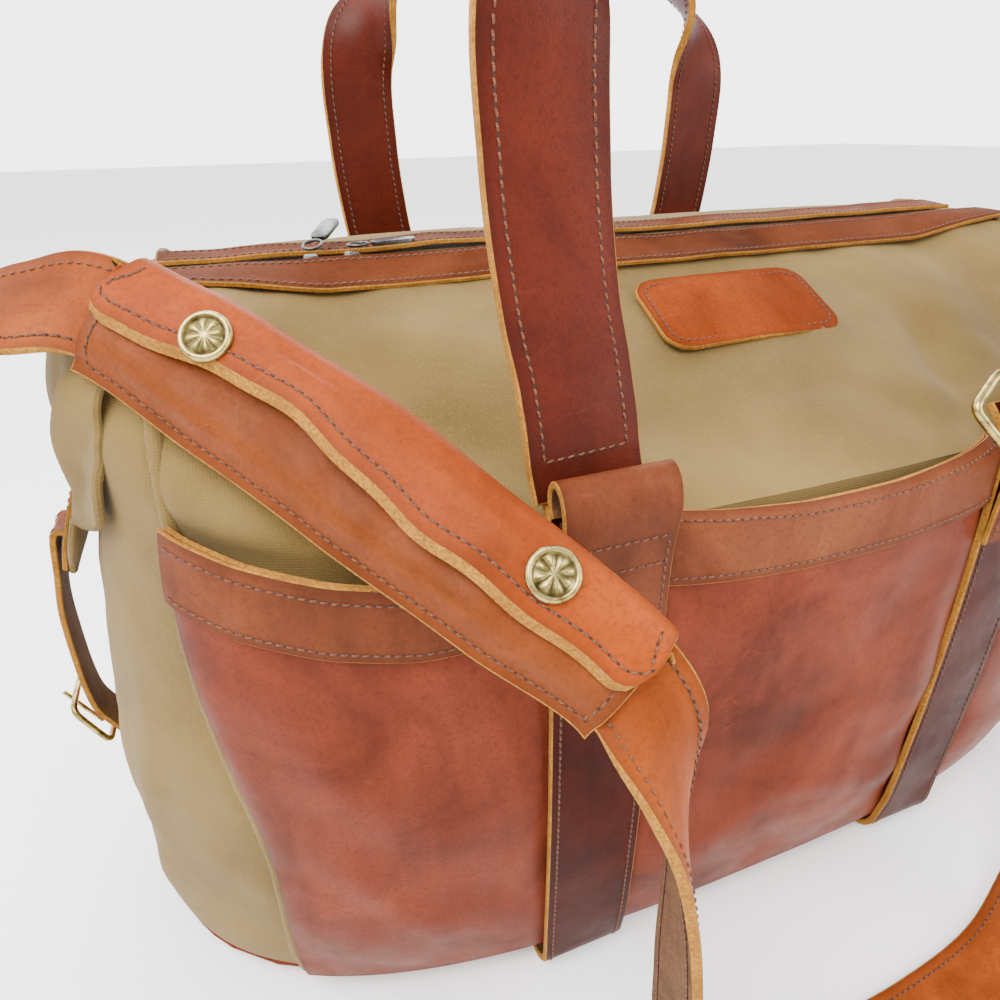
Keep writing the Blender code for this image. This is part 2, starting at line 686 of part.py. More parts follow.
# Each knot: a point of the strap's middle line, and the direction of its width there.
LONG_ROUTE = (
    ((-0.2900, 0.002, 0.2905), (0.0, 1.0, 0.0)), ((-0.3070, 0.000, 0.2830), (0.1, 1.0, 0.0)),
    ((-0.3260, -0.012, 0.2830), (0.2, 1.0, 0.1)), ((-0.3350, -0.028, 0.2950), (0.3, 0.9, 0.3)),
    ((-0.3180, -0.042, 0.3060), (0.35, 0.86, 0.38)),
    ((-0.2900, -0.046, 0.3040), (0.40, 0.80, 0.44)),
    ((-0.2620, -0.0535, 0.3080), (0.60, 0.45, 0.58)),
    ((-0.2368, -0.0650, 0.3076), (0.75, 0.12, 0.65)),
    ((-0.2000, -0.0960, 0.2835), (0.72, 0.12, 0.68)),
    ((-0.1680, -0.1310, 0.2597), (0.69, 0.15, 0.70)),
    ((-0.1406, -0.1612, 0.2395), (0.66, 0.18, 0.73)),
    ((-0.1125, -0.1850, 0.2157), (0.62, 0.21, 0.75)),
    ((-0.1060, -0.202, 0.1880), (0.55, 0.60, 0.30)), ((-0.1040, -0.209, 0.1500), (0.35, 0.93, 0.0)),
    ((-0.1020, -0.214, 0.0950), (0.15, 1.0, 0.0)), ((-0.0950, -0.218, 0.0450), (0.0, 1.0, 0.0)),
    ((-0.0660, -0.222, 0.0110), (0.0, 1.0, 0.0)), ((-0.0220, -0.226, 0.0028), (0.0, 1.0, 0.0)),
    ((0.0330, -0.226, 0.0028), (0.0, 1.0, 0.0)), ((0.0850, -0.220, 0.0075), (0.0, 1.0, 0.0)),
    ((0.1250, -0.206, 0.0330), (0.0, 1.0, 0.0)), ((0.1480, -0.200, 0.0850), (-0.1, 1.0, 0.0)),
    ((0.1600, -0.194, 0.1450), (-0.3, 0.9, -0.2)), ((0.1530, -0.182, 0.2000), (0.1, 0.8, -0.5)),
    ((0.1330, -0.178, 0.2430), (0.45, 0.2, -0.75)),
    ((0.0960, -0.1710, 0.2610), (0.57, -0.44, -0.70)))
SHORT_ROUTE = (
    ((0.0900, -0.1545, 0.2760), (0.57, -0.44, -0.70)), ((0.1300, -0.1440, 0.2930), (0.4, 0.2, -0.7)),
    ((0.1800, -0.120, 0.3050), (0.3, 0.7, -0.5)), ((0.2300, -0.082, 0.3180), (0.1, 0.9, -0.3)),
    ((0.2700, -0.050, 0.3230), (0.0, 1.0, 0.1)), ((0.3000, -0.020, 0.3120), (-0.1, 1.0, 0.1)),
    ((0.3100, -0.002, 0.2980), (0.0, 1.0, 0.0)), ((0.2920, 0.002, 0.2905), (0.0, 1.0, 0.0)))
ROUTE_STEPS = 3
PAD_KNOTS = (7, 11)          # the pad covers the long strap between these knots


def strap_path(route, steps):
    centre = smooth_path([point for point, _ in route], steps)
    across = smooth_path([side for _, side in route], steps)
    return centre, across


def shoulder_strap():
    for name, route in (("shoulder_strap_long", LONG_ROUTE), ("shoulder_strap_short", SHORT_ROUTE)):
        centre, across = strap_path(route, ROUTE_STEPS)
        verts, faces = ribbon(centre, across, SHOULDER_WIDTH, SHOULDER_THICK)
        make(name, verts, faces, "saddle_leather")
    bar = Vector((0.57, -0.44, -0.70)).normalized()
    reach = Vector((0.80, 0.30, 0.46)).normalized()
    middle = Vector((0.0525, -0.1630, 0.2485)) + reach * 0.011
    matrix = facing(middle, bar.cross(reach), reach)
    loop = rounded_loop(0.0440, 0.0220, 0.0040, matrix)
    verts, faces = rod(loop, 0.0019, 8, closed=True)
    make("adjuster_buckle", verts, faces, "antique_brass")


def pad_frames():
    """Points on the pad's middle line, with their across and outward directions."""
    centre, across = strap_path(LONG_ROUTE, ROUTE_STEPS)
    frames = []
    for k in range(PAD_KNOTS[0] * ROUTE_STEPS, PAD_KNOTS[1] * ROUTE_STEPS + 1):
        tangent = (centre[k + 1] - centre[k - 1]).normalized()
        side = across[k] - tangent * across[k].dot(tangent)
        side.normalize()
        frames.append((centre[k], side, tangent.cross(side)))
    return frames


# Pad outline against the share of its length: fold, lower edge, and free edge of the flap.
PAD_FOLD = ((0.0, 0.0200), (0.25, 0.0232), (0.5, 0.0256), (0.75, 0.0230), (1.0, 0.0198))
PAD_LOWER = ((0.0, -0.0210), (0.25, -0.0232), (0.5, -0.0226), (0.75, -0.0215), (1.0, -0.0205))
FLAP_FREE = ((0.0, -0.0026), (0.35, 0.0065), (0.67, 0.0), (1.0, -0.0026))
CAPS = (("upper", 2, 0.0092), ("lower", 10, 0.0117))
CAP_RADIUS = 0.0080


def pad_layer(name, section, origin=(0, 0, 0)):
    """Solid along the pad; `section` gives its outline as (across, out) at a share."""
    frames = pad_frames()
    rings = []
    for n, (point, side, outward) in enumerate(frames):
        outline_so = section(n / (len(frames) - 1))
        rings.append([point + side * across + outward * out for across, out in outline_so])
    verts, faces = loft(rings)
    make(name, verts, faces, "saddle_leather", origin)


def pad_back_section(share):
    """Back layer, its turn round the strap's lower edge, and the lip under the flap."""
    clear = SHOULDER_THICK / 2 + 2 * GAP
    deep = clear + PAD_SHEET
    fold, lower = profile(PAD_FOLD, share), profile(PAD_LOWER, share)
    tip = 0.0095
    return [(fold - 0.001, -deep), (lower + 0.0020, -deep), (lower, -clear), (lower, clear),
            (lower + 0.0020, deep), (tip, deep), (tip, clear), (lower + PAD_SHEET, clear),
            (lower + PAD_SHEET, -clear), (fold - 0.001, -clear)]


def pad_flap_section(share):
    low = SHOULDER_THICK / 2 + 3 * GAP + PAD_SHEET
    fold, free = profile(PAD_FOLD, share), profile(FLAP_FREE, share)
    return [(free, low), (fold, low), (fold, low + PAD_SHEET), (free, low + PAD_SHEET)]


def pad():
    frames = pad_frames()
    pad_layer("pad_back", pad_back_section)
    middle, side, outward = frames[len(frames) // 2]
    hinge = middle + side * (profile(PAD_FOLD, 0.5) + 0.0015) + outward * 0.0024
    pad_layer("pad_flap", pad_flap_section, hinge)
    for end, n, across in CAPS:
        point, side, outward = frames[n]
        seat = SHOULDER_THICK / 2 + 3 * GAP + 2 * PAD_SHEET + GAP / 2
        verts, faces = disc(point + side * across + outward * seat, outward, CAP_RADIUS, 0.0022, 0.0004)
        make(f"snap_cap_{end}", verts, faces, "antique_brass", hinge)


def patch():
    x, y = 0.019, -0.046
    low, high = top_height(x, -0.069), top_height(x, -0.023)
    slope = math.atan2(high - low, 0.046)
    normal = Vector((0, -math.sin(slope), math.cos(slope)))
    centre = Vector((x, y, (low + high) / 2)) + normal * (LEATHER / 2 + 0.0016)
    verts, faces = plate(0.094, 0.046, LEATHER, 0.011, facing(centre, normal, (0, 1, 0)), 4)
    make("leather_patch", verts, faces, "saddle_leather")


def build():
    clear_scene()
    canvas_body()
    base()
    pockets()
    base_straps()
    handle_tabs()
    handles()
    zip_parts()
    sliders()
    wings()
    end_straps()
    d_rings()
    shoulder_strap()
    pad()
    patch()


build()
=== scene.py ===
"""Visual model of a canvas and leather zip-top holdall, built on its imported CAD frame.

World frame: X along the bag, Y from front to back, Z up, metres. The front faces -Y.
"""
import math

import bpy
import numpy as np
from mathutils import Matrix, Vector, noise


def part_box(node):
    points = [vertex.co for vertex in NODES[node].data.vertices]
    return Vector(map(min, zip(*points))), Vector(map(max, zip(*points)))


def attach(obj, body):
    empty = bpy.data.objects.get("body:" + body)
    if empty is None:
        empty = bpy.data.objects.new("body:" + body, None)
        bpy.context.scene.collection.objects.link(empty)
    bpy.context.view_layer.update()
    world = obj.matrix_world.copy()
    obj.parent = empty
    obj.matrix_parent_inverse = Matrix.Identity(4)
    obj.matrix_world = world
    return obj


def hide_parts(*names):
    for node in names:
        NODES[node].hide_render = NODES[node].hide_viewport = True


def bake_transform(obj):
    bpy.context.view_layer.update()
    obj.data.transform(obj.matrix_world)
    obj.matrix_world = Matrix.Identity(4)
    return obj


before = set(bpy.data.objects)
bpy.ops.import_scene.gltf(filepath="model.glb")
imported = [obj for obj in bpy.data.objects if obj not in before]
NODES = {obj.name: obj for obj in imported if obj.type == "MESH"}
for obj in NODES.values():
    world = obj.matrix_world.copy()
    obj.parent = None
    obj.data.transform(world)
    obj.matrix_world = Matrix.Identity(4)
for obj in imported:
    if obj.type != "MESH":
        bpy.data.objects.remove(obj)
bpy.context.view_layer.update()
SIDES = ((-1, "left"), (1, "right"))
FACES = ((-1, "front"), (1, "back"))

# ---- sizes repeated from the CAD source -------------------------------------------------
HALF_LENGTH, HALF_DEPTH, BULGE_HEIGHT, PLAN_POWER = 0.286, 0.143, 0.105, 2.8
SHOULDER_Z, RIDGE_Y, RIDGE_Z = 0.236, 0.016, 0.3035
MOUTH_HALF_LENGTH, MOUTH_HALF_WIDTH, SEAM_X = 0.240, 0.0075, 0.228
STRAP_X, STRAP_WIDTH, STRAP_THICK = 0.099, 0.040, 0.0034
POCKET_SEAM_OFFSET, POCKET_BELLY, POCKET_FOOT = 0.0026, 0.0072, 0.016
LEATHER, CANVAS, GAP = 0.0022, 0.0024, 0.0004
BAND_HEIGHT, BAND_THICK = 0.025, 0.0018
HINGE_YS, HINGE_Z = {-1: 0.1330, 1: 0.1430}, 0.2665
TAB_FOOT, TAB_THICK, SEWN_Y = 0.1499, 0.0024, 0.1432
HANDLE_WIDTH, HANDLE_THICK, HANDLE_TOP = 0.039, 0.0046, 0.452
SHOULDER_WIDTH, SHOULDER_THICK = 0.033, 0.0034
WING_TIP_Z, WING_STAND_OFF = 0.190, 0.008
BUCKLE_Y = 0.006
PITCH = 0.0034               # stitch spacing
INNER = 0.01                 # edge distance given to pieces that have no cut edge
WING_LIFT, STRIP_LIFT, WING_CLOTH = 0.0054, 0.0082, 0.0034
COLUMNS = ("first_column", "last_column")
ROWS = ("first_row", "last_row")


# ---- materials -----------------------------------------------------------------------------
class Graph:
    """Short calls for building a node material."""

    def __init__(self, name):
        self.mat = bpy.data.materials.new(name)
        self.mat.use_nodes = True
        self.nodes = self.mat.node_tree.nodes
        self.links = self.mat.node_tree.links
        self.shader = self.nodes["Principled BSDF"]

    def node(self, kind, settings=None, **inputs):
        made = self.nodes.new("ShaderNode" + kind)
        for key, value in (settings or {}).items():
            setattr(made, key, value)
        for key, value in inputs.items():
            self.feed(made.inputs[key.replace("_", " ")], value)
        return made

    def feed(self, socket, value):
        if isinstance(value, bpy.types.NodeSocket):
            self.links.new(value, socket)
        else:
            socket.default_value = value

    def set(self, **inputs):
        for key, value in inputs.items():
            self.feed(self.shader.inputs[key.replace("_", " ")], value)

    def place(self, scale=(1, 1, 1), flat=False):
        """Coordinates in metres: of the cut piece when flat, of the object otherwise."""
        if flat:
            source = self.node("Attribute", {"attribute_name": "flat"}).outputs["Vector"]
        else:
            source = self.node("TexCoord").outputs["Object"]
        made = self.node("Mapping", Vector=source)
        made.inputs["Scale"].default_value = scale
        return made.outputs["Vector"]

    def noise(self, where, scale, detail=3.0, rough=0.55, warp=0.0):
        made = self.node("TexNoise", Vector=where, Scale=scale, Detail=detail,
                         Roughness=rough, Distortion=warp)
        return made.outputs["Fac"]

    def ramp(self, value, stops):
        made = self.node("ValToRGB", Fac=value)
        elements = made.color_ramp.elements
        while len(elements) < len(stops):
            elements.new(0.5)
        for element, (spot, colour) in zip(elements, stops):
            element.position = spot
            grey = isinstance(colour, (int, float))
            element.color = (colour,) * 3 + (1,) if grey else (*colour, 1)
        return made.outputs["Color"]

    def mix(self, factor, a, b, mode="MIX"):
        made = self.node("Mix", {"data_type": "RGBA", "blend_type": mode})
        for key, value in ((0, factor), (6, a), (7, b)):
            if isinstance(value, tuple):
                value = (*value, 1)
            self.feed(made.inputs[key], value)
        return made.outputs[2]

    def math(self, operation, a, b=0.0):
        made = self.node("Math", {"operation": operation})
        self.feed(made.inputs[0], a)
        self.feed(made.inputs[1], b)
        return made.outputs[0]

    def bump(self, layers):
        """Stacked relief: (height, distance in metres, strength)."""
        normal = None
        for height, distance, strength in layers:
            made = self.node("Bump", Height=height, Distance=distance, Strength=strength)
            if normal is not None:
                self.links.new(normal, made.inputs["Normal"])
            normal = made.outputs["Normal"]
        self.feed(self.shader.inputs["Normal"], normal)

    def edge(self):
        """Distance from the piece's cut edge."""
        source = self.node("Attribute", {"attribute_name": "flat"}).outputs["Vector"]
        return self.node("SeparateXYZ", Vector=source).outputs["Z"]


def shades(mid, deep=0.52, pale=1.55, warm=1.0):
    """Dark, middle and light tone of one colour; the light tone is a little less saturated."""
    dark = tuple(c * deep for c in mid)
    light = tuple(min(0.9, c * pale * (1.0 if k == 0 else warm)) for k, c in enumerate(mid))
    return dark, mid, light


def leather(name, tones, roughness=0.42, specular=0.06):
    dark, mid, light = tones
    g = Graph(name)
    where = g.place()
    patches = g.noise(where, 17, 5, 0.6, 0.6)
    colour = g.ramp(patches, ((0.30, dark), (0.50, mid), (0.72, light)))
    streaks = g.noise(g.place((14, 120, 40), flat=True), 1.0, 4, 0.65)
    colour = g.mix(g.ramp(streaks, ((0.42, 0.0), (0.75, 0.30))), colour, light)
    pores = g.noise(where, 620, 2)
    colour = g.mix(g.ramp(pores, ((0.30, 0.35), (0.52, 0.0))), colour, dark)
    scuffs = g.noise(g.place((60, 9, 30), flat=True), 1.0, 2, 0.4, 1.5)
    scratch = g.ramp(scuffs, ((0.675, 0.0), (0.683, 0.16), (0.691, 0.0)))
    colour = g.mix(scratch, colour, tuple(min(1.0, c * 1.4 + 0.01) for c in light))
    worn = g.ramp(g.edge(), ((0.0, 0.55), (0.0016, 0.0)))
    colour = g.mix(worn, colour, dark)
    g.set(Base_Color=colour, Specular_IOR_Level=specular)
    shine = g.noise(where, 45, 4, 0.6)
    g.set(Roughness=g.ramp(shine, ((0.3, roughness - 0.07), (0.7, roughness + 0.12))))
    cells = g.node("TexVoronoi", {"feature": "DISTANCE_TO_EDGE"}, Vector=where, Scale=850)
    grain = g.ramp(cells.outputs["Distance"], ((0.0, 0.0), (0.18, 1.0)))
    g.bump(((patches, 0.0012, 0.35), (grain, 0.00010, 0.30), (pores, 0.00012, 0.35),
            (scratch, 0.0001, 0.15)))
    return g.mat


def raw_edge(name, dark, light):
    g = Graph(name)
    where = g.place()
    fibres = g.noise(where, 900, 4, 0.7)
    colour = g.ramp(fibres, ((0.32, dark), (0.66, light)))
    layers = g.noise(where, 90, 3)
    colour = g.mix(g.ramp(layers, ((0.35, 0.55), (0.6, 0.0))), colour, dark)
    g.set(Base_Color=colour, Roughness=0.95, Specular_IOR_Level=0.2)
    g.bump(((fibres, 0.0006, 0.9),))
    return g.mat


def canvas(name, dark, mid, light):
    g = Graph(name)
    where = g.place()
    broad = g.noise(where, 9, 4, 0.55)
    colour = g.ramp(broad, ((0.32, dark), (0.52, mid), (0.75, light)))
    cloth = g.place(flat=True)
    warp = g.node("TexWave", {"bands_direction": "X"}, Vector=cloth, Scale=300,
                  Distortion=1.2, Detail=1.0, Detail_Scale=0.4).outputs["Fac"]
    weft = g.node("TexWave", {"bands_direction": "Y"}, Vector=cloth, Scale=300,
                  Distortion=1.2, Detail=1.0, Detail_Scale=0.4).outputs["Fac"]
    weave = g.math("MULTIPLY", warp, weft)
    slub_u = g.noise(g.place((90, 1400, 0), flat=True), 1.0, 2)
    slub_v = g.noise(g.place((1400, 90, 0), flat=True), 1.0, 2)
    slubs = g.math("ADD", slub_u, slub_v)
    speck = g.noise(where, 1300, 2)
    colour = g.mix(g.ramp(slubs, ((0.36, 0.30), (0.50, 0.0))), colour, dark)
    colour = g.mix(g.ramp(speck, ((0.50, 0.0), (0.68, 0.45))), colour, light)
    colour = g.mix(g.ramp(weave, ((0.0, 0.28), (0.35, 0.0))), colour, dark)
    g.set(Base_Color=colour, Roughness=0.92, Specular_IOR_Level=0.12, Sheen_Weight=0.06,
          Sheen_Roughness=0.5)
    g.bump(((g.noise(where, 60, 4), 0.0016, 0.30), (weave, 0.00022, 0.55),
            (slubs, 0.00018, 0.40)))
    return g.mat


def metal(name, tone, dark, roughness, tarnish=0.5):
    g = Graph(name)
    where = g.place()
    blot = g.noise(where, 240, 4, 0.6)
    fine = g.noise(where, 1500, 2)
    colour = g.ramp(blot, ((0.34, dark), (0.34 + tarnish * 0.4, tone)))
    deep = g.ramp(g.edge(), ((0.0, 0.0), (1.0, 1.0)))
    colour = g.mix(deep, colour, tuple(c * 0.12 for c in dark))
    g.set(Base_Color=colour, Metallic=1.0)
    g.set(Roughness=g.ramp(fine, ((0.3, roughness - 0.06), (0.7, roughness + 0.12))))
    g.bump(((fine, 0.00006, 0.35), (blot, 0.0002, 0.15)))
    return g.mat


def thread(name, dark, light):
    g = Graph(name)
    where = g.place()
    ply = g.noise(where, 1900, 2)
    g.set(Base_Color=g.ramp(ply, ((0.35, dark), (0.65, light))), Roughness=0.7,
          Specular_IOR_Level=0.3)
    g.bump(((ply, 0.0003, 0.8),))
    return g.mat


def plain_floor():
    g = Graph("floor")
    tone = g.noise(g.place(), 2.0, 2)
    g.set(Base_Color=g.ramp(tone, ((0.3, 0.93), (0.7, 0.95))), Roughness=0.8)
    return g.mat


SADDLE = leather("saddle_leather_look", shades((0.192, 0.0375, 0.0055), 0.50, 1.6, 1.15))
PADDED = leather("pad_leather_look", shades((0.212, 0.0355, 0.0050), 0.52, 1.5, 1.10))
# the pad's lip under the flap: the pad leather made darker and browner, painted shade of the flap over
# it
SHADED_LIP = leather("pad_lip_painted_shade_look", shades((0.152, 0.0345, 0.0082), 0.50, 1.5, 1.10))
PATCH = leather("patch_leather_look", shades((0.156, 0.0265, 0.0050), 0.55, 1.5, 1.1),
                roughness=0.5, specular=0.01)
FACING = leather("zip_facing_leather_look", shades((0.080, 0.0195, 0.0064), 0.50, 1.5, 1.1),
                 roughness=0.5, specular=0.01)
OXBLOOD = leather("oxblood_leather_look", shades((0.117, 0.0210, 0.0086), 0.46, 1.5, 1.10),
                  roughness=0.40)
BASE_OX = leather("base_strap_leather_look", shades((0.036, 0.0042, 0.0016), 0.50, 1.6, 1.1),
                  roughness=0.40)
DARK_OX = leather("dark_strap_leather_look", shades((0.056, 0.0066, 0.0024), 0.50, 1.6, 1.1),
                  roughness=0.38, specular=0.10)
TAN = leather("band_leather_look", shades((0.106, 0.0262, 0.0098), 0.52, 1.5, 1.15),
              roughness=0.46)
GOLD_EDGE = raw_edge("raw_leather_edge", (0.17, 0.065, 0.008), (0.44, 0.20, 0.028))
FLESH = raw_edge("leather_flesh_side", (0.055, 0.022, 0.010), (0.16, 0.075, 0.030))
CLOTH = canvas("waxed_canvas", *shades((0.148, 0.094, 0.0290), 0.64, 1.42, 1.05))
TAPE = canvas("woven_zip_tape", *shades((0.130, 0.110, 0.050), 0.62, 1.35))
BRASS = metal("antique_brass_look", (0.42, 0.33, 0.115), (0.15, 0.105, 0.030), 0.30)
STEEL = metal("gunmetal_look", (0.085, 0.083, 0.080), (0.03, 0.028, 0.026), 0.34)
THREAD = thread("brown_thread", (0.050, 0.014, 0.007), (0.165, 0.062, 0.026))
# needle holes: a near-black colour, painted shade of the hole
HOLE_SHADE = thread("needle_hole_painted_shade", (0.012, 0.005, 0.003), (0.03, 0.012, 0.007))
LEATHER_SET = (SADDLE, GOLD_EDGE, FLESH)
PAD_SET = (PADDED, GOLD_EDGE, FLESH)
SHADED_LIP_SET = (SHADED_LIP, GOLD_EDGE, FLESH)
OX_SET = (OXBLOOD, GOLD_EDGE, FLESH)
STRAP_SET = (BASE_OX, GOLD_EDGE, FLESH)
FACING_SET = (FACING, GOLD_EDGE, FLESH)
PATCH_SET = (PATCH, GOLD_EDGE, FLESH)
HANDLE_SET = (DARK_OX, GOLD_EDGE, DARK_OX)
TAN_SET = (TAN, GOLD_EDGE, FLESH)
CLOTH_SET = (CLOTH, CLOTH, CLOTH)


# ---- mesh helpers ----------------------------------------------------------------------------
def unit(v):
    return v / np.maximum(np.linalg.norm(v, axis=-1, keepdims=True), 1e-12)


def smoothstep(low, high, value):
    t = np.clip((value - low) / (high - low), 0.0, 1.0)
    return t * t * (3 - 2 * t)


def normals(grid, outward):
    """Surface normals of a grid of points, and whether its quads must be turned over."""
    n = unit(np.cross(np.gradient(grid, axis=0), np.gradient(grid, axis=1)))
    middle = n[n.shape[0] // 2, n.shape[1] // 2]
    flip = float(middle @ np.array(outward, float)) < 0
    return (-n if flip else n), flip


def reach(grid, axis):
    """Distance along a grid's rows or columns from its first line."""
    step = np.linalg.norm(np.diff(grid, axis=axis), axis=-1)
    start = np.zeros_like(np.take(step, [0], axis))
    return np.concatenate([start, np.cumsum(step, axis)], axis)


def finish_piece(name, verts, faces, slots, mats, flat, body, nodes=()):
    mesh = bpy.data.meshes.new(name)
    mesh.from_pydata(np.asarray(verts).tolist(), [], faces)
    mesh.update()
    mesh.polygons.foreach_set("material_index", np.asarray(slots, dtype=np.int32))
    held = mesh.attributes.new("flat", "FLOAT_VECTOR", "POINT")
    held.data.foreach_set("vector", np.asarray(flat, dtype=np.float32).ravel())
    mesh.shade_smooth()
    mesh.set_sharp_from_angle(angle=math.radians(42))
    for mat in mats:
        mesh.materials.append(mat)
    piece = bpy.data.objects.new(name, mesh)
    bpy.context.scene.collection.objects.link(piece)
    if body:
        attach(piece, body)
    if nodes:
        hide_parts(*nodes)
    return piece


def sheet_solid(name, grid, thick, mats, outward, body="bag", nodes=(), lip=0.0004,
                flare=0.0):
    """Sheet with softly rounded cut edges: face, edge and flesh side have their own look."""
    rows, cols = grid.shape[:2]
    n, flip = normals(grid, outward)
    depth = np.broadcast_to(np.asarray(thick, float), (rows, cols))[..., None]
    top = grid.copy()
    top[0] += unit(grid[1] - grid[0]) * lip
    top[-1] += unit(grid[-2] - grid[-1]) * lip
    top[:, 0] += unit(grid[:, 1] - grid[:, 0]) * lip
    top[:, -1] += unit(grid[:, -2] - grid[:, -1]) * lip
    low = top - n * depth
    low[:, 0] -= unit(grid[:, 1] - grid[:, 0]) * flare
    border = [(0, j) for j in range(cols - 1)]
    border += [(i, cols - 1) for i in range(rows - 1)]
    border += [(rows - 1, j) for j in range(cols - 1, 0, -1)]
    border += [(i, 0) for i in range(rows - 1, 0, -1)]
    bi, bj = np.array(border).T
    ring_a = grid[bi, bj] - n[bi, bj] * lip
    ring_b = grid[bi, bj] - n[bi, bj] * (depth[bi, bj] - lip)
    first = bj == 0
    ring_b[first] -= unit(grid[bi[first], 1] - grid[bi[first], 0]) * flare
    verts = np.concatenate([top.reshape(-1, 3), low.reshape(-1, 3), ring_a, ring_b])
    along, across = reach(grid, 0), reach(grid, 1)
    inside = np.minimum(np.minimum(along, along[-1:] - along),
                        np.minimum(across, across[:, -1:] - across))
    flat = np.stack([along, across - across[:, -1:] / 2, inside], -1)
    rim = flat[bi, bj]
    flat = np.concatenate([flat.reshape(-1, 3), flat.reshape(-1, 3), rim, rim])
    faces, slots = [], []
    size = rows * cols
    for i in range(rows - 1):
        for j in range(cols - 1):
            a = i * cols + j
            quad = (a, a + cols, a + cols + 1, a + 1)
            quad = quad[::-1] if flip else quad
            faces += [quad, tuple(size + v for v in reversed(quad))]
            slots += [0, 2]
    loop = bi * cols + bj
    count = len(loop)
    for k in range(count):
        m = (k + 1) % count
        chain = [(int(loop[q]), 2 * size + q, 2 * size + count + q, size + int(loop[q]))
                 for q in (k, m)]
        for step in range(3):
            quad = (chain[0][step], chain[1][step], chain[1][step + 1], chain[0][step + 1])
            faces.append(quad if flip else quad[::-1])
            slots.append(1)
    return finish_piece(name, verts, faces, slots, mats, flat, body, nodes)


def curve(points, count):
    """Catmull-Rom curve through the points, resampled to evenly spaced points."""
    pts = np.asarray(points, float)
    ext = np.concatenate([[2 * pts[0] - pts[1]], pts, [2 * pts[-1] - pts[-2]]])
    out = []
    for k in range(1, len(ext) - 2):
        p0, p1, p2, p3 = ext[k - 1:k + 3]
        for t in np.arange(12) / 12:
            out.append(0.5 * (2 * p1 + (p2 - p0) * t + (2 * p0 - 5 * p1 + 4 * p2 - p3) * t * t
                              + (3 * p1 - p0 - 3 * p2 + p3) * t ** 3))
    out.append(pts[-1])
    out = np.array(out)
    length = reach(out[:, None, :3], 0)[:, 0]
    want = np.linspace(0, length[-1], count)
    return np.stack([np.interp(want, length, out[:, c]) for c in range(out.shape[1])], -1)


def ribbon_grid(path, across, width, thick, columns=9, crown=0.0):
    """Outer face of a flat strap along a path, with the normal it faces."""
    tangent = unit(np.gradient(path, axis=0))
    side = across - tangent * (across * tangent).sum(-1, keepdims=True)
    side = unit(side)
    face = np.cross(tangent, side)
    spots = np.linspace(-0.5, 0.5, columns)
    width = np.broadcast_to(np.asarray(width, float), (len(path),))
    lift = np.asarray(thick) / 2 + crown * (1 - (2 * spots) ** 2)
    grid = path[:, None] + side[:, None] * (spots[None, :, None] * width[:, None, None])
    return grid + face[:, None] * lift[None, :, None], face


def lane(grid, n, edge, inset, trim=0.0):
    """A line on a grid's face at a distance from one of its four edges."""
    if edge in ("first_row", "last_row"):
        grid, n = np.swapaxes(grid, 0, 1), np.swapaxes(n, 0, 1)
    if edge in ("last_column", "last_row"):
        grid, n = grid[:, ::-1], n[:, ::-1]
    distance = reach(grid, 1)
    points, facings = [], []
    for row in range(len(grid)):
        points.append([np.interp(inset, distance[row], grid[row, :, c]) for c in range(3)])
        facings.append([np.interp(inset, distance[row], n[row, :, c]) for c in range(3)])
    return cut_ends(np.array(points), np.array(facings), trim)


def cut_ends(points, facings, trim):
    length = reach(points[:, None], 0)[:, 0]
    count = max(3, int((length[-1] - 2 * trim) / 0.0015))
    want = np.linspace(trim, length[-1] - trim, count)
    return tuple(np.stack([np.interp(want, length, v[:, c]) for c in range(3)], -1)
                 for v in (points, facings))


def at_spots(values, length, spots):
    """Values along a line, read off at distances along it."""
    return np.stack([np.interp(spots, length, values[:, c]) for c in range(3)], -1)


def edge_lanes(grid, n, edges, inset, trim):
    return [lane(grid, n, edge, inset, trim) for edge in edges]


def two_faced_lanes(grid, n, depth, inset, trim):
    """Lanes along both long edges, on the face and on the far side `depth` below it."""
    return (edge_lanes(grid, n, COLUMNS, inset, trim)
            + edge_lanes(grid - n * depth, -n, COLUMNS, inset, trim))


def above_floor(lines):
    """Lift the lines of stitches that run along the floor clear of it."""
    for points, _ in lines:
        points[:, 2] = np.maximum(points[:, 2], 0.0007)
    return lines


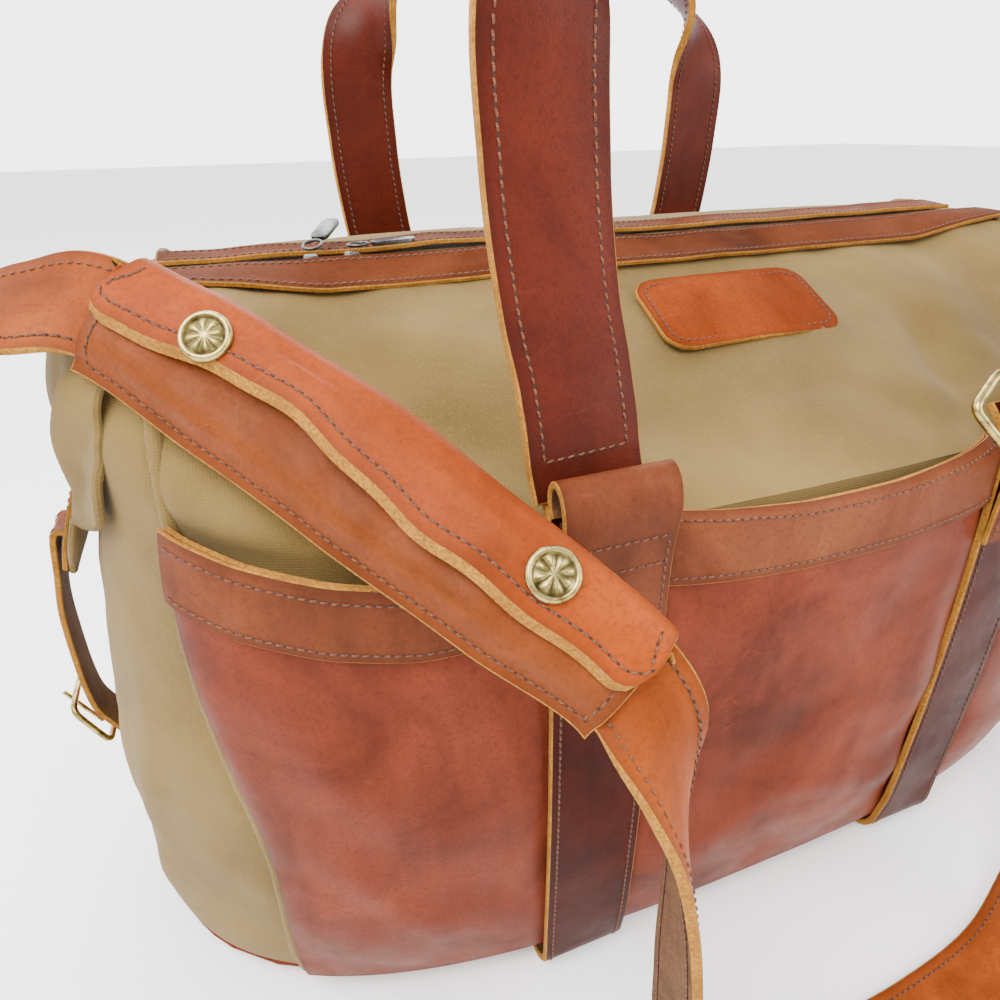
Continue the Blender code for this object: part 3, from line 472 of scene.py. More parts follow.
def stitches(name, lines, body="bag", pitch=PITCH, radius=0.00042):
    """Rows of thread sunk into the leather at both ends, with thin dark discs of painted shade
    standing for the needle holes between.
    """
    reaches = np.array([-1.0, -0.72, -0.25, 0.25, 0.72, 1.0]) * pitch * 0.36
    heights = np.array([-0.5, 0.15, 0.55, 0.55, 0.15, -0.5]) * radius
    girths = np.array([0.45, 0.9, 1.0, 1.0, 0.9, 0.45]) * radius
    turn = np.arange(6) * math.pi / 3
    verts, faces, slots, flat = [], [], [], []
    base = 0
    for points, facings in lines:
        length = reach(points[:, None], 0)[:, 0]
        count = max(1, int(round(length[-1] / pitch)))
        spots = (np.arange(count) + 0.5) * length[-1] / count
        centre = at_spots(points, length, spots)
        up = unit(at_spots(facings, length, spots))
        ahead = unit(at_spots(np.gradient(points, axis=0), length, spots))
        side = unit(np.cross(up, ahead))
        ahead = np.cross(side, up)
        along = unit(ahead + side * 0.12)
        body_rings = (centre[:, None, None] + along[:, None, None] * reaches[None, :, None, None]
                      + up[:, None, None] * (heights[:, None]
                                             + girths[:, None] * np.sin(turn) * 0.8)[None, ..., None]
                      + side[:, None, None] * (girths[:, None] * np.cos(turn))[None, ..., None])
        hole = (centre + ahead * length[-1] / count / 2)[:, None]
        disc = (hole + up[:, None] * 0.00006 + ahead[:, None] * (np.cos(turn) * 0.00062)[None, :, None]
                + side[:, None] * (np.sin(turn) * 0.00045)[None, :, None])
        for k in range(count):
            verts.append(body_rings[k].reshape(-1, 3))
            for r in range(5):
                a = base + r * 6
                for q in range(6):
                    w = (q + 1) % 6
                    faces.append((a + q, a + w, a + 6 + w, a + 6 + q))
                    slots.append(0)
            faces += [tuple(base + q for q in range(5, -1, -1)),
                      tuple(base + 30 + q for q in range(6))]
            slots += [0, 0]
            base += 36
            # each needle hole is a thin dark disc on the surface: painted shade, not an opening
            verts.append(disc[k])
            verts.append(disc[k] - up[k] * 0.0003)
            faces += [tuple(base + q for q in range(6)), tuple(base + 11 - q for q in range(6))]
            faces += [(base + q, base + 6 + q, base + 6 + (q + 1) % 6, base + (q + 1) % 6)
                      for q in range(6)]
            slots += [1] * 8
            base += 12
    verts = np.concatenate(verts)
    flat = np.zeros_like(verts)
    flat[:, 2] = INNER
    return finish_piece(name, verts, faces, slots, (THREAD, HOLE_SHADE), flat, body, ())


def dress(name, node, mat, body, bevel=0.0004, smooth=0):
    """Detailed piece from a CAD node's own form, with its edges rounded over."""
    source = NODES[node].data
    verts = np.array([v.co[:] for v in source.vertices])
    faces = [tuple(p.vertices) for p in source.polygons]
    flat = verts * 1.0
    flat[:, 2] = INNER
    mesh = bpy.data.meshes.new(name)
    mesh.from_pydata(verts.tolist(), [], faces)
    mesh.update()
    piece = bpy.data.objects.new(name, mesh)
    bpy.context.scene.collection.objects.link(piece)
    weld = piece.modifiers.new("weld", "WELD")
    weld.merge_threshold = 0.00001
    if bevel:
        round_over = piece.modifiers.new("round", "BEVEL")
        round_over.width = bevel
        round_over.segments = 2
        round_over.limit_method = "ANGLE"
        round_over.angle_limit = math.radians(34)
    if smooth:
        sub = piece.modifiers.new("smooth", "SUBSURF")
        sub.levels = smooth
        sub.render_levels = smooth
    applied = bpy.data.meshes.new_from_object(
        piece.evaluated_get(bpy.context.evaluated_depsgraph_get()))
    piece.modifiers.clear()
    piece.data = applied
    applied.name = name
    if "flat" not in applied.attributes:
        held = applied.attributes.new("flat", "FLOAT_VECTOR", "POINT")
        points = np.array([v.co[:] for v in applied.vertices])
        points[:, 2] = INNER
        held.data.foreach_set("vector", points.astype(np.float32).ravel())
    applied.materials.clear()
    applied.materials.append(mat)
    applied.shade_smooth()
    applied.set_sharp_from_angle(angle=math.radians(40))
    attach(piece, body)
    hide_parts(node)
    return piece


# ---- the bag's outer form, as in the CAD source ------------------------------------------------
def plan_axes(z, offset=0.0):
    z = np.asarray(z, float)
    half_length = HALF_LENGTH - 0.62 * np.maximum(0.0, z - 0.04) ** 2
    half_depth = HALF_DEPTH - 0.25 * (z - BULGE_HEIGHT) ** 2
    foot = np.maximum(0.0, 0.030 - z) / 0.030
    tuck = 0.014 * (1 - np.sqrt(np.maximum(0.0, 1 - foot * foot)))
    return half_length - tuck + offset, half_depth - tuck * 0.7 + offset


def power(value, exponent):
    return np.sign(value) * np.abs(value) ** exponent


def wall(angle, z, offset=0.0):
    a, b = plan_axes(z, offset)
    e = 2 / PLAN_POWER
    x, y = a * power(np.cos(angle), e), b * power(np.sin(angle), e)
    return np.stack(np.broadcast_arrays(x, y, np.asarray(z, float)), -1)


def angle_at(x, z=SHOULDER_Z):
    a, _ = plan_axes(z)
    return np.arccos(np.minimum(1.0, np.abs(x) / a) ** (PLAN_POWER / 2))


def wall_y(x, z, offset=0.0):
    a, b = plan_axes(z, offset)
    return b * (1 - np.minimum(1.0, np.abs(x) / a) ** PLAN_POWER) ** (1 / PLAN_POWER)


def top(angle, s, offset=0.0):
    """Top of the bag: s runs from the shoulder (0) to the mouth (1)."""
    foot = wall(angle, SHOULDER_Z, offset)
    c, d = np.cos(angle), np.sin(angle)
    mouth = np.stack(np.broadcast_arrays(MOUTH_HALF_LENGTH * power(c, 0.5),
                                         RIDGE_Y + MOUTH_HALF_WIDTH * power(d, 0.5),
                                         RIDGE_Z + offset), -1)
    boxy = 1.0 + 2.2 * smoothstep(-0.92, -0.30, d)
    phi = s * math.pi / 2
    across = 1 - np.abs(np.cos(phi)) ** (2 / boxy)
    rise = np.sin(phi) ** (2 / boxy)
    point = foot + (mouth - foot) * across[..., None]
    point[..., 2] = foot[..., 2] + (mouth[..., 2] - foot[..., 2]) * rise
    swell = 0.007 * smoothstep(0.0, 0.8, d) * np.sin(math.pi * np.minimum(1.0, s * 1.02)) ** 0.8
    point[..., 2] += swell
    return point


def skin(angle, z, offset=0.0):
    """The bag's surface at a height, wall or top."""
    angle, z = np.broadcast_arrays(np.asarray(angle, float), np.asarray(z, float))
    offset = np.broadcast_to(np.asarray(offset, float), z.shape)
    low = wall(angle, np.minimum(z, SHOULDER_Z), offset)
    boxy = 1.0 + 2.2 * smoothstep(-0.92, -0.30, np.sin(angle))
    rise = np.clip((z - SHOULDER_Z) / (RIDGE_Z + offset - SHOULDER_Z), 0.0, 1.0)
    s = np.arcsin(rise ** (boxy / 2)) * 2 / math.pi
    return np.where((z > SHOULDER_Z)[..., None], top(angle, s, offset), low)


def top_height(x, y):
    """Height of the canvas top under a point of the front or back slope."""
    face = -1 if y < RIDGE_Y else 1
    s = np.linspace(0, 1, 60)
    angle = np.linspace(0.05, math.pi - 0.05, 160)
    points = top(face * angle[None, :], s[:, None] * np.ones_like(angle)[None, :]).reshape(-1, 3)
    gap = (points[:, 0] - x) ** 2 + (points[:, 1] - y) ** 2
    near = np.argsort(gap)[:6]
    weight = 1 / (gap[near] + 1e-7)
    return float((points[near, 2] * weight).sum() / weight.sum())


def ripple(points, scale, height, seed):
    """Low uneven swells for soft leather and cloth."""
    flat = points.reshape(-1, 3)
    shift = Vector((seed * 7.3, seed * 3.1, seed * 5.7))
    out = [noise.noise(Vector(p) * scale + shift) for p in flat]
    return (np.array(out) * height).reshape(points.shape[:-1])


def folds(points, lines):
    """Sum of folds: each is (start, end, half width, height), fading out at both ends."""
    total = np.zeros(points.shape[:-1])
    for start, end, half_width, height in lines:
        a, b = np.array(start), np.array(end)
        ahead = b - a
        length = np.linalg.norm(ahead)
        t = ((points - a) @ ahead) / length ** 2
        off = np.linalg.norm(points - a - np.clip(t, 0, 1)[..., None] * ahead, axis=-1)
        fade = smoothstep(-0.30, 0.25, t) * smoothstep(1.30, 0.70, t)
        total += height * fade * np.exp(-(off / half_width) ** 2)
    return total


# ---- canvas body --------------------------------------------------------------------------------
FRONT_FOLDS = (
    ((0.120, -0.060, 0.268), (0.085, -0.125, 0.240), 0.013, -0.0050),
    ((0.150, -0.030, 0.282), (0.120, -0.100, 0.252), 0.016, 0.0030),
    ((0.060, -0.100, 0.255), (0.140, -0.128, 0.240), 0.014, 0.0030),
    ((-0.185, -0.040, 0.280), (-0.095, -0.120, 0.247), 0.016, -0.0045),
    ((-0.150, -0.030, 0.288), (-0.070, -0.075, 0.268), 0.017, 0.0025),
    ((-0.060, -0.110, 0.250), (-0.020, -0.060, 0.275), 0.016, -0.0030),
    ((0.190, -0.050, 0.275), (0.215, -0.110, 0.240), 0.012, -0.0040),
    ((-0.235, -0.085, 0.262), (-0.190, -0.125, 0.243), 0.011, 0.0045),
)
END_FOLDS = (
    ((0.262, -0.098, 0.262), (0.276, -0.086, 0.225), 0.008, 0.0050),
    ((0.270, -0.080, 0.236), (0.281, -0.060, 0.120), 0.010, -0.0030),
    ((0.262, -0.098, 0.225), (0.277, -0.084, 0.100), 0.009, 0.0026),
    ((0.270, -0.080, 0.150), (0.282, -0.062, 0.030), 0.011, 0.0024),
    ((0.274, 0.080, 0.230), (0.281, 0.050, 0.110), 0.012, -0.0030),
    ((0.262, 0.096, 0.220), (0.277, 0.080, 0.090), 0.010, 0.0026),
)


def mirrored(lines, sign_x=1, sign_y=1):
    flip = np.array((sign_x, sign_y, 1.0))
    return [(tuple(flip * a), tuple(flip * b), w, h) for a, b, w, h in lines]


SEAM = float(angle_at(SEAM_X))
HANDLE_ROOM = 0.0006         # the back cloth lies lower, clear of the stitched back handle
SLANT = 0.19                 # how far a seam's plan angle moves inwards at its foot, radians


def slanted(angle, z):
    """Plan angle of the cloth at a height: each seam leans towards the middle at its foot."""
    quarter = np.arccos(np.clip(np.abs(np.cos(angle)), 0, 1))
    near = np.minimum(quarter / SEAM, (math.pi / 2 - quarter) / (math.pi / 2 - SEAM))
    lean = SLANT * smoothstep(SHOULDER_Z, 0.080, z) * np.clip(near, 0, 1)
    turned = np.sign(np.sin(angle) * np.cos(angle))
    return angle + turned * lean


def cloth_panel(name, start, end, columns, outward, lines, node, seed):
    angles = np.linspace(start, end, columns)
    levels = np.linspace(0.0125, SHOULDER_Z, 46)[:-1]
    steps = np.linspace(0.0, 1.0, 46)
    low = wall(slanted(angles[None, :], levels[:, None]), levels[:, None])
    high = top(np.broadcast_to(angles, (46, columns)), steps[:, None] * np.ones(columns))
    grid = np.concatenate([low, high])
    n, _ = normals(grid, outward)
    z = grid[..., 2]
    free = smoothstep(0.225, 0.250, z) * smoothstep(1.0, 0.93, np.concatenate(
        [np.zeros(45), steps])[:, None] * np.ones(columns))
    if "end" in node:
        free = smoothstep(0.012, 0.05, z) * smoothstep(0.300, 0.285, z)
        spread = np.minimum(angles - start, end - angles)
        free = free * smoothstep(0.0, 0.05, spread)[None, :]
    strength = 0.9 if node == "canvas_back" else 1.6
    lift = (strength * folds(grid, lines) + ripple(grid, 22, 0.0018 * strength, seed)
            + ripple(grid, 60, 0.0010, seed))
    if node == "canvas_back":
        lift = np.minimum(lift, 0.0) - HANDLE_ROOM
    grid = grid + n * (lift * free)[..., None]
    sheet_solid(name, grid, CANVAS, CLOTH_SET, outward, "bag", (node,))


SLIT = 0.0035
cloth_panel("cloth_front", -math.pi + SEAM + SLIT, -SEAM - SLIT, 150, (0, -1, 0.4),
            FRONT_FOLDS, "canvas_front", 1)
cloth_panel("cloth_back", SEAM + SLIT, math.pi - SEAM - SLIT, 130, (0, 1, 0.4),
            mirrored(FRONT_FOLDS, -1, -1), "canvas_back", 2)
cloth_panel("cloth_end_right", -SEAM + SLIT, SEAM - SLIT, 90, (1, 0, 0.2), END_FOLDS,
            "end_panel_right", 3)
cloth_panel("cloth_end_left", math.pi - SEAM + SLIT, math.pi + SEAM - SLIT, 90, (-1, 0, 0.2),
            mirrored(END_FOLDS, -1), "end_panel_left", 4)


def seam_welts():
    """Folded canvas edge standing along each seam between the front or back and an end."""
    levels = np.linspace(0.0135, SHOULDER_Z, 40)[:-1]
    steps = np.linspace(0.0, 0.86, 40)
    for face, front in FACES:
        for sign, side in SIDES:
            angle = SEAM - 0.012
            angle = face * (angle if sign > 0 else math.pi - angle)
            low = wall(slanted(np.full(39, angle), levels), levels, 0.0012)
            high = top(np.full(40, angle), steps, 0.0012)
            path = np.concatenate([low, high])
            path = curve(path[::3], 150)
            around = np.linspace(0, 2 * math.pi, 13)[:-1]
            tangent = unit(np.gradient(path, axis=0))
            out = unit(np.stack([np.full(150, sign * 0.75), np.full(150, face * 1.0),
                                 smoothstep(0.20, 0.27, path[:, 2]) * 1.1], -1))
            out = unit(out - tangent * (out * tangent).sum(-1, keepdims=True))
            flank = np.cross(tangent, out)
            wave = 1 + ripple(path[:, None], 90, 0.45, 9)[:, 0]
            ring = (path[:, None] + flank[:, None] * (np.cos(around) * 0.0030)[None, :, None]
                    + out[:, None] * (np.sin(around)[None, :] * 0.0022 * wave[:, None])[..., None])
            verts = ring.reshape(-1, 3)
            faces = []
            for i in range(149):
                for j in range(12):
                    k = (j + 1) % 12
                    faces.append((i * 12 + j, i * 12 + k, (i + 1) * 12 + k, (i + 1) * 12 + j))
            faces += [tuple(range(11, -1, -1)), tuple(149 * 12 + j for j in range(12))]
            flat = np.stack([np.repeat(reach(path[:, None], 0)[:, 0], 12),
                             np.tile(around * 0.0026, 150), np.full(1800, INNER)], -1)
            finish_piece(f"seam_welt_{front}_{side}", verts, faces, [0] * len(faces), (CLOTH,),
                         flat, "bag", ())


seam_welts()


# ---- pockets, bands and base straps --------------------------------------------------------------
TOP_SHAPE_X = (0.0, 0.02, 0.053, 0.080, 0.100, 0.130, 0.155, 0.179, 0.205, 0.223, 0.230)
TOP_SHAPE_Z = (0.2365, 0.2366, 0.2380, 0.2400, 0.2350, 0.2300, 0.2290, 0.2320, 0.2378, 0.2440,
               0.2468)
POCKETS = (("left", -SEAM_X + 0.0012, -STRAP_X - 0.0006),
           ("centre", -STRAP_X + 0.0006, STRAP_X - 0.0006),
           ("right", STRAP_X + 0.0006, SEAM_X - 0.0012))


def pocket_offset(x, z):
    edge = STRAP_WIDTH / 2 + 0.0006
    inner = STRAP_X - edge
    middle = (x + inner) / (2 * inner)
    outer = (np.abs(x) - STRAP_X - edge) / (SEAM_X - STRAP_X - edge)
    u = np.clip(np.where(np.abs(x) < inner, middle, outer), 0, 1)
    slack = np.sin(math.pi * u) ** 0.5
    return (POCKET_SEAM_OFFSET + POCKET_BELLY * slack * smoothstep(POCKET_FOOT, 0.07, z)
            * (1 - 0.35 * smoothstep(0.20, 0.25, z)))


def pocket_grid(face, x0, x1, cols, low, high, rows, extra):
    xs = np.linspace(x0, x1, cols)
    ceiling = np.interp(np.abs(xs), TOP_SHAPE_X, TOP_SHAPE_Z)
    t = np.linspace(0, 1, rows)[:, None]
    bottom = ceiling - low if low is not None else np.full(cols, POCKET_FOOT)
    z = bottom + (ceiling - high - bottom) * t
    x = np.broadcast_to(xs, z.shape)
    seam = wall(slanted(np.full(rows, SEAM), z.mean(1)), z.mean(1))[:, :1]
    spread = seam / wall(SEAM, SHOULDER_Z)[..., 0] - 1
    bent = x * (1 + spread * smoothstep(STRAP_X + 0.025, SEAM_X, np.abs(x)))
    offset = pocket_offset(x, z) + extra
    angle = angle_at(bent, np.minimum(z, SHOULDER_Z))
    angle = np.where(bent < 0, math.pi - angle, angle)
    return skin(face * angle, z, offset)


POCKET_FOLDS = (
    ((-0.215, -0.130, 0.190), (-0.150, -0.150, 0.080), 0.015, 0.0022),
    ((-0.180, -0.145, 0.120), (-0.130, -0.150, 0.060), 0.013, -0.0020),
    ((-0.205, -0.140, 0.110), (-0.165, -0.150, 0.055), 0.008, 0.0016),
    ((-0.060, -0.150, 0.200), (0.060, -0.150, 0.110), 0.022, 0.0026),
    ((0.050, -0.150, 0.190), (-0.050, -0.150, 0.080), 0.016, -0.0020),
    ((0.000, -0.150, 0.090), (0.070, -0.150, 0.060), 0.010, 0.0018),
    ((0.130, -0.150, 0.170), (0.200, -0.140, 0.090), 0.016, 0.0022),
    ((0.150, -0.150, 0.090), (0.205, -0.140, 0.050), 0.011, -0.0018),
)


def pockets():
    for face, front in FACES:
        for part, x0, x1 in POCKETS:
            cols = 70 if part == "centre" else 56
            lines = mirrored(POCKET_FOLDS, -face, -face) if face > 0 else POCKET_FOLDS
            grid = pocket_grid(face, x0, x1, cols, None, 0.0, 64, LEATHER)
            n, _ = normals(grid, (0, face, 0))
            rim = np.minimum(reach(grid, 1), reach(grid[:, ::-1], 1)[:, ::-1])
            free = smoothstep(0.018, 0.04, grid[..., 2]) * smoothstep(0.0, 0.020, rim)
            free = free * smoothstep(0.215, 0.19, grid[..., 2])
            lift = folds(grid, lines) + ripple(grid, 26, 0.0016, 20 + face)
            grid = grid + n * (lift * free)[..., None]
            sheet_solid(f"leather_pocket_{front}_{part}", grid, LEATHER, OX_SET, (0, face, 0),
                        "bag", (f"pocket_{front}_{part}",))
            edge = STRAP_WIDTH / 2 + 0.0006
            b0, b1 = band_span(part, x0, x1, edge)
            band = pocket_grid(face, b0, b1, cols, BAND_HEIGHT, -0.0006, 12,
                               LEATHER + GAP + BAND_THICK)
            n, _ = normals(band, (0, face, 0))
            sheet_solid(f"leather_band_{front}_{part}", band, BAND_THICK, TAN_SET, (0, face, 0),
                        "bag", (f"band_{front}_{part}",))
            rows = [lane(band, n, "first_row", 0.0030, 0.002),
                    lane(band, n, "last_row", 0.0052, 0.002)]
            stitches(f"band_stitches_{front}_{part}", rows)


def band_span(part, x0, x1, edge):
    if part == "centre":
        return -STRAP_X + edge, STRAP_X - edge
    if part == "left":
        return x0, -STRAP_X - edge
    return STRAP_X + edge, x1


pockets()


def strap_end(hinge_y):
    """Free upper end of a base strap, from the hinge down to where it meets the pocket."""
    shares = ((0.0, 0.2530), (0.20, 0.2512), (0.50, 0.2480), (0.83, 0.2435), (1.0, 0.2380))
    return [(hinge_y + (SEWN_Y - hinge_y) * share, z) for share, z in shares]


def base_straps():
    """U-shaped straps: up the front, under the base and up the back."""
    off = POCKET_SEAM_OFFSET + LEATHER + 2 * GAP + STRAP_THICK / 2
    half = [(float(wall_y(STRAP_X, z, off)), z)
            for z in (0.226, 0.200, 0.160, 0.110, 0.070, 0.040)]
    foot_y = float(wall_y(STRAP_X, 0.020, off))
    half += [(foot_y, 0.0200), (foot_y - 0.0012, 0.0115), (foot_y - 0.0062, 0.0044),
             (foot_y - 0.0150, 0.0018), (0.105, STRAP_THICK / 2), (0.050, STRAP_THICK / 2)]
    front, back = [strap_end(HINGE_YS[face]) + half for face, _ in FACES]
    line = [(-y, z) for y, z in front] + back[::-1]
    for sign, side in SIDES:
        path = curve([(sign * STRAP_X, y, z) for y, z in line], 240)
        path[:, 2] = np.maximum(path[:, 2], STRAP_THICK / 2)
        z = path[:, 2]
        turn = 0.078 * smoothstep(0.010, 0.040, z) * (1 - smoothstep(0.228, 0.243, z))
        across = np.stack([np.ones(240), np.sign(-sign * path[:, 1]) * turn, np.zeros(240)], -1)
        grid, face = ribbon_grid(path, across, STRAP_WIDTH, STRAP_THICK, 9)
        outward = face[120] if face[120][2] < 0 else -face[120]
        if face[120][2] > 0:
            grid = grid - face[:, None] * STRAP_THICK
        sheet_solid(f"leather_base_strap_{side}", grid, STRAP_THICK, STRAP_SET, outward, "bag",
                    (f"base_strap_{side}",), 0.0006)
        n, _ = normals(grid, outward)
        rows = edge_lanes(grid, n, COLUMNS, 0.0035, 0.004)
        stitches(f"base_strap_stitches_{side}", above_floor(rows))


base_straps()


# ---- handles and their rolled tabs ----------------------------------------------------------------
TAB_LINE = ((TAB_FOOT, 0.196), (TAB_FOOT, 0.214), (TAB_FOOT + 0.0002, 0.230),
            (TAB_FOOT + 0.0016, 0.2420), (TAB_FOOT + 0.0026, 0.2500), (TAB_FOOT + 0.0006, 0.2575),
            (TAB_FOOT - 0.0036, 0.2612), (TAB_FOOT - 0.0076, 0.2590), (TAB_FOOT - 0.0082, 0.2535),
            (TAB_FOOT - 0.0062, 0.2488))


def handle_tabs():
    """Leather tab whose upper end is rolled up; its cut ends show the roll and its bore."""
    for face, front in FACES:
        for sign, side in SIDES:
            hinge_y = HINGE_YS[face]
            section = curve([(0.0, y, z) for y, z in TAB_LINE], 90)[:, 1:]
            section[:, 0] += (hinge_y - HINGE_YS[-1]) / 2 * smoothstep(0.225, 0.248, section[:, 1])
            path = np.stack([np.full(90, sign * STRAP_X), face * section[:, 0], section[:, 1]], -1)
            thick = np.full(90, TAB_THICK)
            across = np.tile((1.0, 0.0, 0.0), (90, 1))
            tangent = unit(np.gradient(path, axis=0))
            out = np.cross(tangent, across) * (1 if face > 0 else -1)
            if out[0][1] * face < 0:
                out = -out
            spots = np.linspace(-0.5, 0.5, 15) * (STRAP_WIDTH + 0.0012)
            grid = (path[:, None] + across[:, None] * spots[None, :, None]
                    + out[:, None] * (thick / 2)[:, None, None])
            sheet_solid(f"leather_handle_tab_{front}_{side}", grid, thick[:, None], TAN_SET,
                        out[45], "bag", (f"handle_tab_{front}_{side}",), 0.0005)
            rows = []
            for z in (0.2010, 0.2285, 0.2400):
                k = int(np.argmin(np.abs(path[:50, 2] - z)))
                line = grid[k, 1:-1]
                rows.append(cut_ends(line, np.tile(out[k], (13, 1)), 0.001))
            upright = int(np.argmin(np.abs(path[:50, 2] - 0.2400)))
            for j in (1, -2):
                rows.append(cut_ends(grid[2:upright, j], out[2:upright], 0.001))
            stitches(f"tab_stitches_{front}_{side}", rows)


handle_tabs()


def handles():
    half = [(-0.1030, -0.0035, 0.2520), (-0.1035, -0.0010, 0.2590), (-0.1040, 0.0006, 0.2660),
            (-0.1042, 0.0025, 0.2740), (-0.1045, 0.0050, 0.2810), (-0.1050, 0.0080, 0.2900),
            (-0.1080, 0.0120, 0.3100), (-0.1110, 0.0160, 0.3460), (-0.1095, 0.0200, 0.3900),
            (-0.0900, 0.0240, 0.4260), (-0.0500, 0.0270, 0.4460), (0.0, 0.0280, HANDLE_TOP)]
    full = half + [(-x, lean, z) for x, lean, z in reversed(half[:-1])]
    for face, front in FACES:
        share, hinge_y = (1.0 if face < 0 else 0.15), HINGE_YS[face]
        path = curve([(x, face * (hinge_y - lean * share), z) for x, lean, z in full], 300)
        level = smoothstep(0.370, HANDLE_TOP - 0.004, path[:, 2])
        across = np.stack([np.where(path[:, 0] < 0, 1, -1) * (1 - level), -face * level,
                           np.zeros(300)], -1)
        tangent = unit(np.gradient(path, axis=0))
        side = unit(across - tangent * (across * tangent).sum(-1, keepdims=True))
        out = np.cross(tangent, side)
        if out[40][1] * face < 0:
            out = -out
        spots = np.linspace(-0.5, 0.5, 13)
        crown = 0.0006 * (1 - (2 * spots) ** 2)
        grid = (path[:, None] + side[:, None] * (spots * HANDLE_WIDTH)[None, :, None]
                + out[:, None] * (HANDLE_THICK / 2 + crown)[None, :, None])
        piece = sheet_solid(f"leather_handle_{front}", grid, HANDLE_THICK, HANDLE_SET, out[150],
                            None, (f"handle_{front}",), 0.0006)
        n = np.broadcast_to(out[:, None], grid.shape)
        inset, foot = 0.0052, 0.0125
        rows = two_faced_lanes(grid, n, HANDLE_THICK + 0.0002, inset, foot)
        spot = reach(path[:, None], 0)[:, 0]
        for far in (foot, spot[-1] - foot):
            k = int(np.argmin(np.abs(spot - far)))
            rows.append(cut_ends(grid[k], n[k], inset))
        stitches(f"handle_stitches_{front}", rows, f"{front}_handle")
        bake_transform(piece)


handles()


# ---- zip --------------------------------------------------------------------------------------------
def zip_parts():
    """Leather facings beside the zip, its tapes and its two rows of teeth."""
    xs = np.linspace(-0.226, 0.226, 90)
    knots = np.linspace(-0.226, 0.226, 15)
    for face, side in FACES:
        rows = []
        for out in (0.0010, 0.0045, 0.0080, 0.0115, 0.0150, 0.0183, 0.0215):
            y = RIDGE_Y + face * (MOUTH_HALF_WIDTH + out)
            z = np.interp(xs, knots, [top_height(x, y) for x in knots])
            rows.append(np.stack([xs, np.full(90, y), z + GAP * 4 + LEATHER], -1))
        grid = np.stack(rows, 1)
        sag = ripple(grid[:, :1], 30, 0.0022, 31 + face)[:, 0]
        share = np.linspace(0, 1, 7)
        grid[..., 1] += face * (sag[:, None] * share[None, :]) * 0.8
        grid[..., 2] += 0.5 * sag[:, None] * smoothstep(0.226, 0.19, np.abs(xs))[:, None]
        sheet_solid(f"leather_zip_facing_{side}", grid, LEATHER, FACING_SET, (0, 0, 1), "bag",
                    (f"zip_facing_{side}",))
        n, _ = normals(grid, (0, 0, 1))
        stitches(f"zip_facing_stitches_{side}", edge_lanes(grid, n, COLUMNS, 0.0030, 0.003))
        y = RIDGE_Y + face * 0.0038
        spots = np.linspace(-0.5, 0.5, 4) * 0.0072
        tape = np.stack([np.stack([xs, np.full(90, y + s), np.full(90, RIDGE_Z - 0.0045)], -1)
                         for s in spots], 1)
        tape = tape * np.array((0.98, 1, 1))
        sheet_solid(f"woven_zip_tape_{side}", tape, 0.0012, (TAPE, TAPE, TAPE), (0, 0, 1),
                    "bag", (f"zip_tape_{side}",), 0.0002)
        verts, faces = [], []
        count = 176
        for k in range(count):
            x = -0.219 + 0.438 * (k + (0.5 if face > 0 else 0.0)) / count
            y0, y1 = RIDGE_Y + face * 0.0022, RIDGE_Y - face * 0.0006
            base = len(verts)
            for z, w in ((-0.0046, 0.00075), (-0.0036, 0.00085), (-0.0030, 0.0005)):
                low, high = sorted((y0, y1))
                verts += [(x - w, low, RIDGE_Z + z), (x + w, low, RIDGE_Z + z),
                          (x + w, high, RIDGE_Z + z), (x - w, high, RIDGE_Z + z)]
            for level in (0, 4):
                for q in range(4):
                    a, b = base + level + q, base + level + (q + 1) % 4
                    faces.append((a, b, b + 4, a + 4))
            faces += [(base + 3, base + 2, base + 1, base), tuple(base + 8 + q for q in range(4))]
        flat = np.array(verts)
        flat[:, 2] = INNER
        finish_piece(f"zip_teeth_{side}", verts, faces, [0] * len(faces), (BRASS,), flat, "bag",
                     ())


zip_parts()


# ---- wings and end straps --------------------------------------------------------------------------
# Half width of a wing, as a plan angle in degrees, against the share of its length.
WING_EDGE = ((0.0, 0.41, 0.63, 1.0), (29.6, 22.6, 7.0, 2.4))


def profile(knots, share):
    """Smooth steps between the knots of an outline."""
    spots, values = np.array(knots[0]), np.array(knots[1])
    k = np.clip(np.searchsorted(spots, share, "right") - 1, 0, len(spots) - 2)
    return values[k] + (values[k + 1] - values[k]) * smoothstep(spots[k], spots[k + 1], share)


def wing_grid(sign, lift, low, high, cols, rows):
    """Grid on the wing between two outlines of plan angles, from its fold to its tip."""
    v = np.linspace(0, 1, rows)
    low, high = profile(low, v)[:, None], profile(high, v)[:, None]
    angle = np.radians(low + (high - low) * np.linspace(0, 1, cols)[None, :])
    v = v[:, None] * np.ones((1, cols))
    shoulder = 0.45
    upper = top(angle, 0.52 * (1 - np.minimum(v, shoulder) / shoulder), lift)
    drop = np.clip((v - shoulder) / (1 - shoulder), 0, 1)
    lower = wall(angle, SHOULDER_Z - (SHOULDER_Z - WING_TIP_Z) * drop, lift)
    grid = np.where((v < shoulder)[..., None], upper, lower)
    grid[..., 0] += WING_STAND_OFF * smoothstep(0.30, 1.0, v)
    grid[..., 0] *= sign
    return grid


WING_FOLDS = (
    ((-0.240, -0.085, 0.280), (-0.268, -0.045, 0.240), 0.007, -0.0050),
    ((-0.248, -0.062, 0.288), (-0.276, -0.028, 0.225), 0.006, 0.0045),
    ((-0.252, -0.048, 0.286), (-0.281, -0.014, 0.200), 0.006, -0.0040),
    ((-0.262, -0.020, 0.280), (-0.284, -0.004, 0.210), 0.008, 0.0034),
    ((-0.265, 0.050, 0.275), (-0.283, 0.012, 0.210), 0.009, -0.0036),
)


